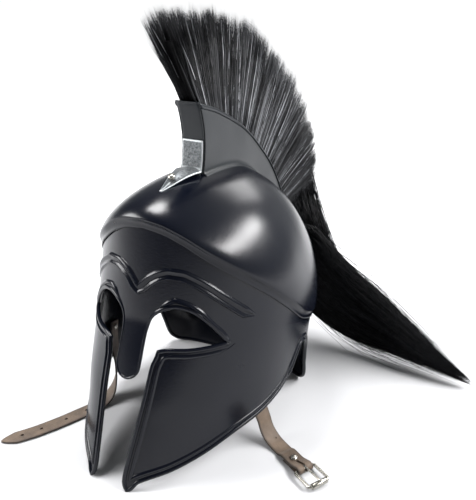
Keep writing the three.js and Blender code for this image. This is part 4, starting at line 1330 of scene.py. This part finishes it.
# Straps
STRAP_LIFT = 0.3
LYING = STRAP_LIFT + STRAP_SHEET / 2
FOLD_RADIUS = BUCKLE_WIRE / 2 + CLEARANCE + STRAP_SHEET / 2
BAR_LEVEL = LYING + FOLD_RADIUS
UPPER_LEVEL = LYING + STRAP_SHEET + CLEARANCE
ROOT_INSET = SHEET + CLEARANCE + STRAP_SHEET / 2 + 0.8
EDGE_INSET = SHEET / 2 + EDGE_ROLL + CLEARANCE + STRAP_SHEET / 2 + 1.0
ROOT_DROP = [
    (-0.25, 0.30, ROOT_INSET), (-0.25, 0.38, ROOT_INSET),
    (-0.252, 0.47, (ROOT_INSET + EDGE_INSET) / 2), (-0.256, 0.545, EDGE_INSET),
]
LEFT_HANG = [(0.632, 0.347, 0.30, 73), (0.668, 0.362, 0.16, 70), (0.722, 0.378, 0.06, 66)]
RIGHT_LIE = [
    (0.480, 0.325, 0.46, 118), (0.452, 0.395, 0.20, 132), (0.448, 0.470, 0.065, 146),
    (0.468, 0.560, 0, 157), (0.500, 0.650, 0, 158), (0.548, 0.770, 0, 156),
    (0.606, 0.890, 0, 152), (0.652, 0.965, 0, 148), (0.712, 1.050, 0, 146),
]
LEFT_DEGREES = -28
LEFT_TURN = math.radians(LEFT_DEGREES)
BAR_Y = -LEFT_REACH * 0.515
BUCKLE_CORNER = 2.5
PUNCH_RADIUS = 1.6
TIP_TAPER = 14
RIVET_PLACE = -15.5
BAR_WAY = Vector((math.cos(LEFT_TURN + math.pi / 2), math.sin(LEFT_TURN + math.pi / 2), 0))


def heading(degrees):
    return Vector((math.cos(math.radians(degrees)), math.sin(math.radians(degrees)), 0))


def on_left(s, w, z):
    """A place in the buckle's frame: along the strap, across it and up, in millimetres."""
    x = LEFT_REACH + s * math.cos(LEFT_TURN) - w * math.sin(LEFT_TURN)
    y = BAR_Y + s * math.sin(LEFT_TURN) + w * math.cos(LEFT_TURN)
    return lying(x, y, z)


def root_rows(sign):
    rows = []
    for y, down, inset in ROOT_DROP:
        p = rested(on_side(CHEEK_REACH * y, -CHEEK_DROP * down, -inset))
        p.x = HEAD_X + sign * (p.x - HEAD_X)
        rows.append((p, heading(90 - sign * 16)))
    return rows


def strap_frames(rows, spacing):
    """Even frames along a strap's rows: the middle line, the way across and the face's normal."""
    centres = [centre for centre, _ in rows]
    line = []
    sides = []
    for i in range(len(centres) - 1):
        ends = span_ends(centres, i)
        steps = max(round((centres[i + 1] - centres[i]).length / (spacing * MM)), 2)
        for k in range(steps):
            line.append(hermite(ends, k / steps))
            sides.append(rows[i][1].lerp(rows[i + 1][1], k / steps).normalized())
    line.append(centres[-1])
    sides.append(rows[-1][1])
    frames = []
    for k, p in enumerate(line):
        along = (line[min(k + 1, len(line) - 1)] - line[max(k - 1, 0)]).normalized()
        side = (sides[k] - along * sides[k].dot(along)).normalized()
        frames.append((p, side, along.cross(side).normalized()))
    return frames


def strap_section():
    """Flat strap with its edges rubbed round."""
    half = STRAP_WIDTH / 2
    thick = STRAP_SHEET / 2
    upper = []
    for k in range(5):
        turn = math.radians(22.5 * k)
        upper.append((half - thick + thick * math.sin(turn), thick * math.cos(turn)))
    inner = [(half * s, thick) for s in (-0.7, -0.4, 0.0, 0.4, 0.7)]
    right = inner + upper + [(a, -b) for a, b in reversed(upper[:-1])]
    left = [(-a, -b) for a, b in right]
    return right + left + [right[0]]


def strap_object(name, frames, shares, nodes):
    """A strap along its frames, drawn in towards its middle line by each frame's share."""
    bm = swept(frames, strap_section())
    close_ends(bm)
    made = made_object(name, bm, leather, "helmet", nodes, 60)
    places = np.array([f[0] for f in frames])
    values = []
    for v in made.data.vertices:
        k = int(np.argmin(((places - np.array(v.co)) ** 2).sum(1)))
        centre, side, _ = frames[k]
        off = (v.co - centre).dot(side)
        values.append(min(abs(off) / (STRAP_WIDTH / 2 * MM), 1))
        if shares[k] < 1:
            v.co -= side * off * (1 - shares[k])
    set_attribute(made, "edge", values)
    return made


def hole_tool(centre, radius):
    bm = bmesh.new()
    bmesh.ops.create_cone(
        bm, cap_ends=True, segments=20, radius1=radius * MM, radius2=radius * MM, depth=12 * MM,
        matrix=Matrix.Translation(centre))
    return loose_object("hole", bm)


def buckle_strap():
    def row(s, z):
        return on_left(s, 0, z), heading(LEFT_DEGREES + 90)

    rows = root_rows(1)
    for out, forward, up, turn in LEFT_HANG:
        rows.append((lying(LEFT_REACH * out, -LEFT_REACH * forward, STRAP_ROOT_HEIGHT * up), heading(turn)))
    rows += [
        row(-FLAP_LENGTH - 9, LYING), row(-FLAP_LENGTH - 5, LYING + 0.4),
        row(-FLAP_LENGTH - 1, UPPER_LEVEL), row(-FLAP_LENGTH / 2, UPPER_LEVEL + 0.1),
        row(-6, BAR_LEVEL + FOLD_RADIUS * 0.45), row(-2, BAR_LEVEL + FOLD_RADIUS * 0.96),
    ]
    for turn in (90, 45, 0, -45, -90):
        angle = math.radians(turn)
        rows.append(row(FOLD_RADIUS * math.cos(angle), BAR_LEVEL + FOLD_RADIUS * math.sin(angle)))
    rows += [row(-8, LYING), row(-FLAP_LENGTH + 3, LYING)]
    frames = strap_frames(rows, 1.8)
    strap = strap_object("buckle_strap", frames, [1] * len(frames), ["strap_left"])
    slot_tool = bmesh.new()
    bmesh.ops.create_cube(slot_tool, size=1)
    bmesh.ops.bevel(
        slot_tool, geom=[e for e in slot_tool.edges if abs((e.verts[0].co - e.verts[1].co).z) > 0.5],
        offset=0.12, segments=3, profile=0.5, affect="EDGES", material=-1)
    for v in slot_tool.verts:
        v.co = on_left(-2.5 + v.co.x * 17, v.co.y * 2.8, 6 + v.co.z * 14)
    tools = [loose_object("slot", slot_tool)]
    tools.append(hole_tool(on_left(-FLAP_LENGTH - 22, 1.5, 4), 0.7))
    cut_away(strap, tools)
    strap.data.set_sharp_from_angle(angle=math.radians(STRAP_SHARP))
    return strap


def tongue_strap():
    rows = root_rows(-1)[:3]
    for out, forward, up, turn in RIGHT_LIE:
        p = lying(-RIGHT_REACH * out, -RIGHT_REACH * forward, max(STRAP_ROOT_HEIGHT * up, LYING))
        rows.append((p, heading(turn)))
    frames = strap_frames(rows, 2.2)
    tip = frames[-1][0]
    shares = []
    for f in frames:
        left = (f[0] - tip).length / MM
        shares.append(1.0 if left > TIP_TAPER else max(0.06, (left / TIP_TAPER) ** 0.62))
    strap = strap_object("tongue_strap", frames, shares, ["strap_right"])
    tools = []
    for k in (3.6, 4.7, 5.8, 6.9):
        i = int(k) + 3
        centre = rows[i][0].lerp(rows[i + 1][0], k % 1)
        tools.append(hole_tool(centre, PUNCH_RADIUS))
    cut_away(strap, tools)
    strap.data.set_sharp_from_angle(angle=math.radians(STRAP_SHARP))
    return strap


def buckle_ring():
    """Frame wire bent into a rounded rectangle."""
    arm = (BUCKLE_WIDTH - BUCKLE_WIRE) / 2
    corner = BUCKLE_CORNER
    frames = []
    for far, side, start in ((0, -1, 180), (1, -1, 270), (1, 1, 0), (0, 1, 90)):
        for k in range(7):
            turn = math.radians(start + 15 * k)
            centre_s = BUCKLE_LENGTH - corner if far else corner
            s = centre_s + corner * math.cos(turn)
            w = side * (arm - corner) + corner * math.sin(turn)
            out = Vector((math.cos(turn + LEFT_TURN), math.sin(turn + LEFT_TURN), 0))
            frames.append((on_left(s, w, BAR_LEVEL), out, Vector((0, 0, 1))))
    frames.append(frames[0])
    bm = swept(frames, circle(BUCKLE_WIRE / 2, 16))
    return made_object("buckle_ring", bm, nickel, "buckle", ["buckle_frame"])


def lathed(profile, place, axis):
    """A turned piece set at a place, along an axis."""
    bm = turned(profile, 40)
    bmesh.ops.recalc_face_normals(bm, faces=bm.faces)
    turn = upright_to(axis.normalized())
    for v in bm.verts:
        v.co = place + (turn @ v.co) * MM
    return bm


def buckle_tube():
    half = (BUCKLE_WIDTH - BUCKLE_WIRE) / 2 - BUCKLE_CORNER - CLEARANCE
    bore = BUCKLE_WIRE / 2 + CLEARANCE
    out = ROLLER_OUTER / 2
    profile = [
        (bore, -half), (out - 0.3, -half), (out, -half + 0.4), (out, half - 0.4),
        (out - 0.3, half), (bore, half), (bore, -half),
    ]
    bm = lathed(profile, on_left(BUCKLE_LENGTH, 0, BAR_LEVEL), BAR_WAY)
    return made_object("buckle_tube", bm, nickel, "roller", ["buckle_roller"])


def buckle_tongue():
    eye = BUCKLE_WIRE / 2 + CLEARANCE + PRONG_WIRE / 2
    rest = BAR_LEVEL + ROLLER_OUTER / 2 + CLEARANCE + PRONG_WIRE / 2
    line = []
    for a in (-40, -75, -110, -145, 180, 145, 110):
        turn = math.radians(a)
        line.append(Vector((eye * math.cos(turn), 0, BAR_LEVEL + eye * math.sin(turn))))
    line += [
        Vector((1.5, 0, BAR_LEVEL + eye + 0.2)),
        Vector((BUCKLE_LENGTH * 0.5, 0, lerp(BAR_LEVEL + eye, rest, 0.7))),
        Vector((BUCKLE_LENGTH, 0, rest + 0.1)),
        Vector((BUCKLE_LENGTH + ROLLER_OUTER / 2, 0, rest - 0.3)),
    ]
    points = spline(line, 0.7)
    frames = []
    shares = []
    for k, p in enumerate(points):
        here = on_left(p.x, 0, p.z)
        before = points[max(k - 1, 0)]
        after = points[min(k + 1, len(points) - 1)]
        along = (on_left(after.x, 0, after.z) - on_left(before.x, 0, before.z)).normalized()
        frames.append((here, BAR_WAY, along.cross(BAR_WAY).normalized()))
        left = len(points) - 1 - k
        shares.append(min(1.0, 0.45 + 0.14 * left))
    bm = swept(frames, circle(PRONG_WIRE / 2, 14), shares)
    close_ends(bm)
    return made_object("buckle_tongue", bm, nickel, "prong", ["buckle_prong"])


def flap_rivet_head():
    """Domed head over the rivet through the flap."""
    head = [(0, 0.0), (3.4, 0.0), (3.5, 0.35), (3.3, 0.8), (2.6, 1.3), (1.5, 1.6), (0, 1.7)]
    top = UPPER_LEVEL + STRAP_SHEET / 2 + CLEARANCE
    bm = lathed(head, on_left(RIVET_PLACE, 0, top), Vector((0, 0, 1)))
    return made_object("flap_rivet_head", bm, nickel, "helmet", [])


brush_core()
brush_piece("brush_front", 0.03, 0.30)
brush_piece("brush_top", 0.28, 0.54)
brush_piece("brush_back", 0.52, 0.77)
brush_piece("brush_low", 0.75, 0.97)
mane_core()
mane_piece("mane_outer", 0.65, 1.0, 12, 21)
mane_piece("mane_inner", 0.45, 0.95, 11, 22)
mane_fall()
buckle_strap()
tongue_strap()
buckle_ring()
buckle_tube()
buckle_tongue()
flap_rivet_head()
for kept in ("flap_rivet", "strap_rivet_left", "strap_rivet_right"):
    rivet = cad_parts[kept]
    rivet.data.materials.clear()
    rivet.data.materials.append(nickel)


CAMERA_PLACE = (0.2384, -0.5089, 0.407)
CAMERA_AZIMUTH = 29.45
CAMERA_ELEVATION = 23.2
CAMERA_LENS = 43.2
FLOOR_REACH = 80
# Area lights: name, place, what it looks at, width, height and watts
LIGHTS = [
    ("strip_right", (1.195, 0.612, 1.17), (-0.05, -0.05, 0.22), 1.7, 0.3, 58),
    ("strip_behind", (-0.29, 1.30, 1.12), (-0.05, -0.05, 0.24), 1.2, 0.5, 12),
    ("box_above", (-0.50, 0.10, 1.5), (-0.06, -0.12, 0.2), 0.45, 0.45, 20),
    ("window_left", (-1.34, -0.75, 0.97), (-0.07, -0.12, 0.22), 1.1, 0.6, 36),
]


def studio():
    """Pale paper floor that brightens with distance, a soft sky and the photograph's camera."""
    bm = bmesh.new()
    bmesh.ops.create_grid(bm, x_segments=2, y_segments=2, size=FLOOR_REACH)
    floor = loose_object("studio_floor", bm)
    paper, tree, shader, place = started("white paper sweep")
    far = node(tree, "ShaderNodeVectorMath", {0: place}, operation="LENGTH").outputs["Value"]
    connect(tree, shader, {
        "Base Color": linear("#cdcdcf"),
        "Roughness": 0.8,
        "Specular IOR Level": 0.1,
        "Emission Color": linear("#ffffff"),
        "Emission Strength": mapped(
            tree, far, 0.35, 1.3, 0.0, 0.85, interpolation_type="SMOOTHSTEP"),
    })
    floor.data.materials.append(paper)

    world = bpy.data.worlds.new("studio")
    world.use_nodes = True
    tree = world.node_tree
    sky = tree.nodes["Background"]
    way = node(tree, "ShaderNodeTexCoord")
    part = node(tree, "ShaderNodeSeparateXYZ", {"Vector": way.outputs["Generated"]})
    side = added(tree, part.outputs["X"], part.outputs["Y"])
    connect(tree, sky, {
        "Color": linear("#f6f9fa"),
        "Strength": mapped(tree, side, -0.5, 0.9, 0.10, 0.56),
    })
    bpy.context.scene.world = world

    camera = bpy.data.cameras.new("camera")
    camera.sensor_width = 36
    camera.lens = CAMERA_LENS
    camera.clip_end = 200
    seat = bpy.data.objects.new("camera", camera)
    bpy.context.scene.collection.objects.link(seat)
    a = math.radians(CAMERA_AZIMUTH)
    e = math.radians(CAMERA_ELEVATION)
    back = Vector((math.sin(a) * math.cos(e), -math.cos(a) * math.cos(e), math.sin(e)))
    seat.rotation_mode = "QUATERNION"
    seat.rotation_quaternion = (-back).to_track_quat("-Z", "Y")
    seat.location = CAMERA_PLACE
    bpy.context.scene.camera = seat


def area_light(name, place, target, width, height, watts):
    light = bpy.data.lights.new(name, "AREA")
    light.shape = "RECTANGLE"
    light.size = width
    light.size_y = height
    light.energy = watts
    made = bpy.data.objects.new(name, light)
    bpy.context.scene.collection.objects.link(made)
    made.location = place
    made.rotation_mode = "QUATERNION"
    made.rotation_quaternion = (Vector(target) - Vector(place)).to_track_quat("-Z", "Y")


studio()
for row in LIGHTS:
    area_light(*row)
bpy.context.scene.view_settings.view_transform = "Standard"
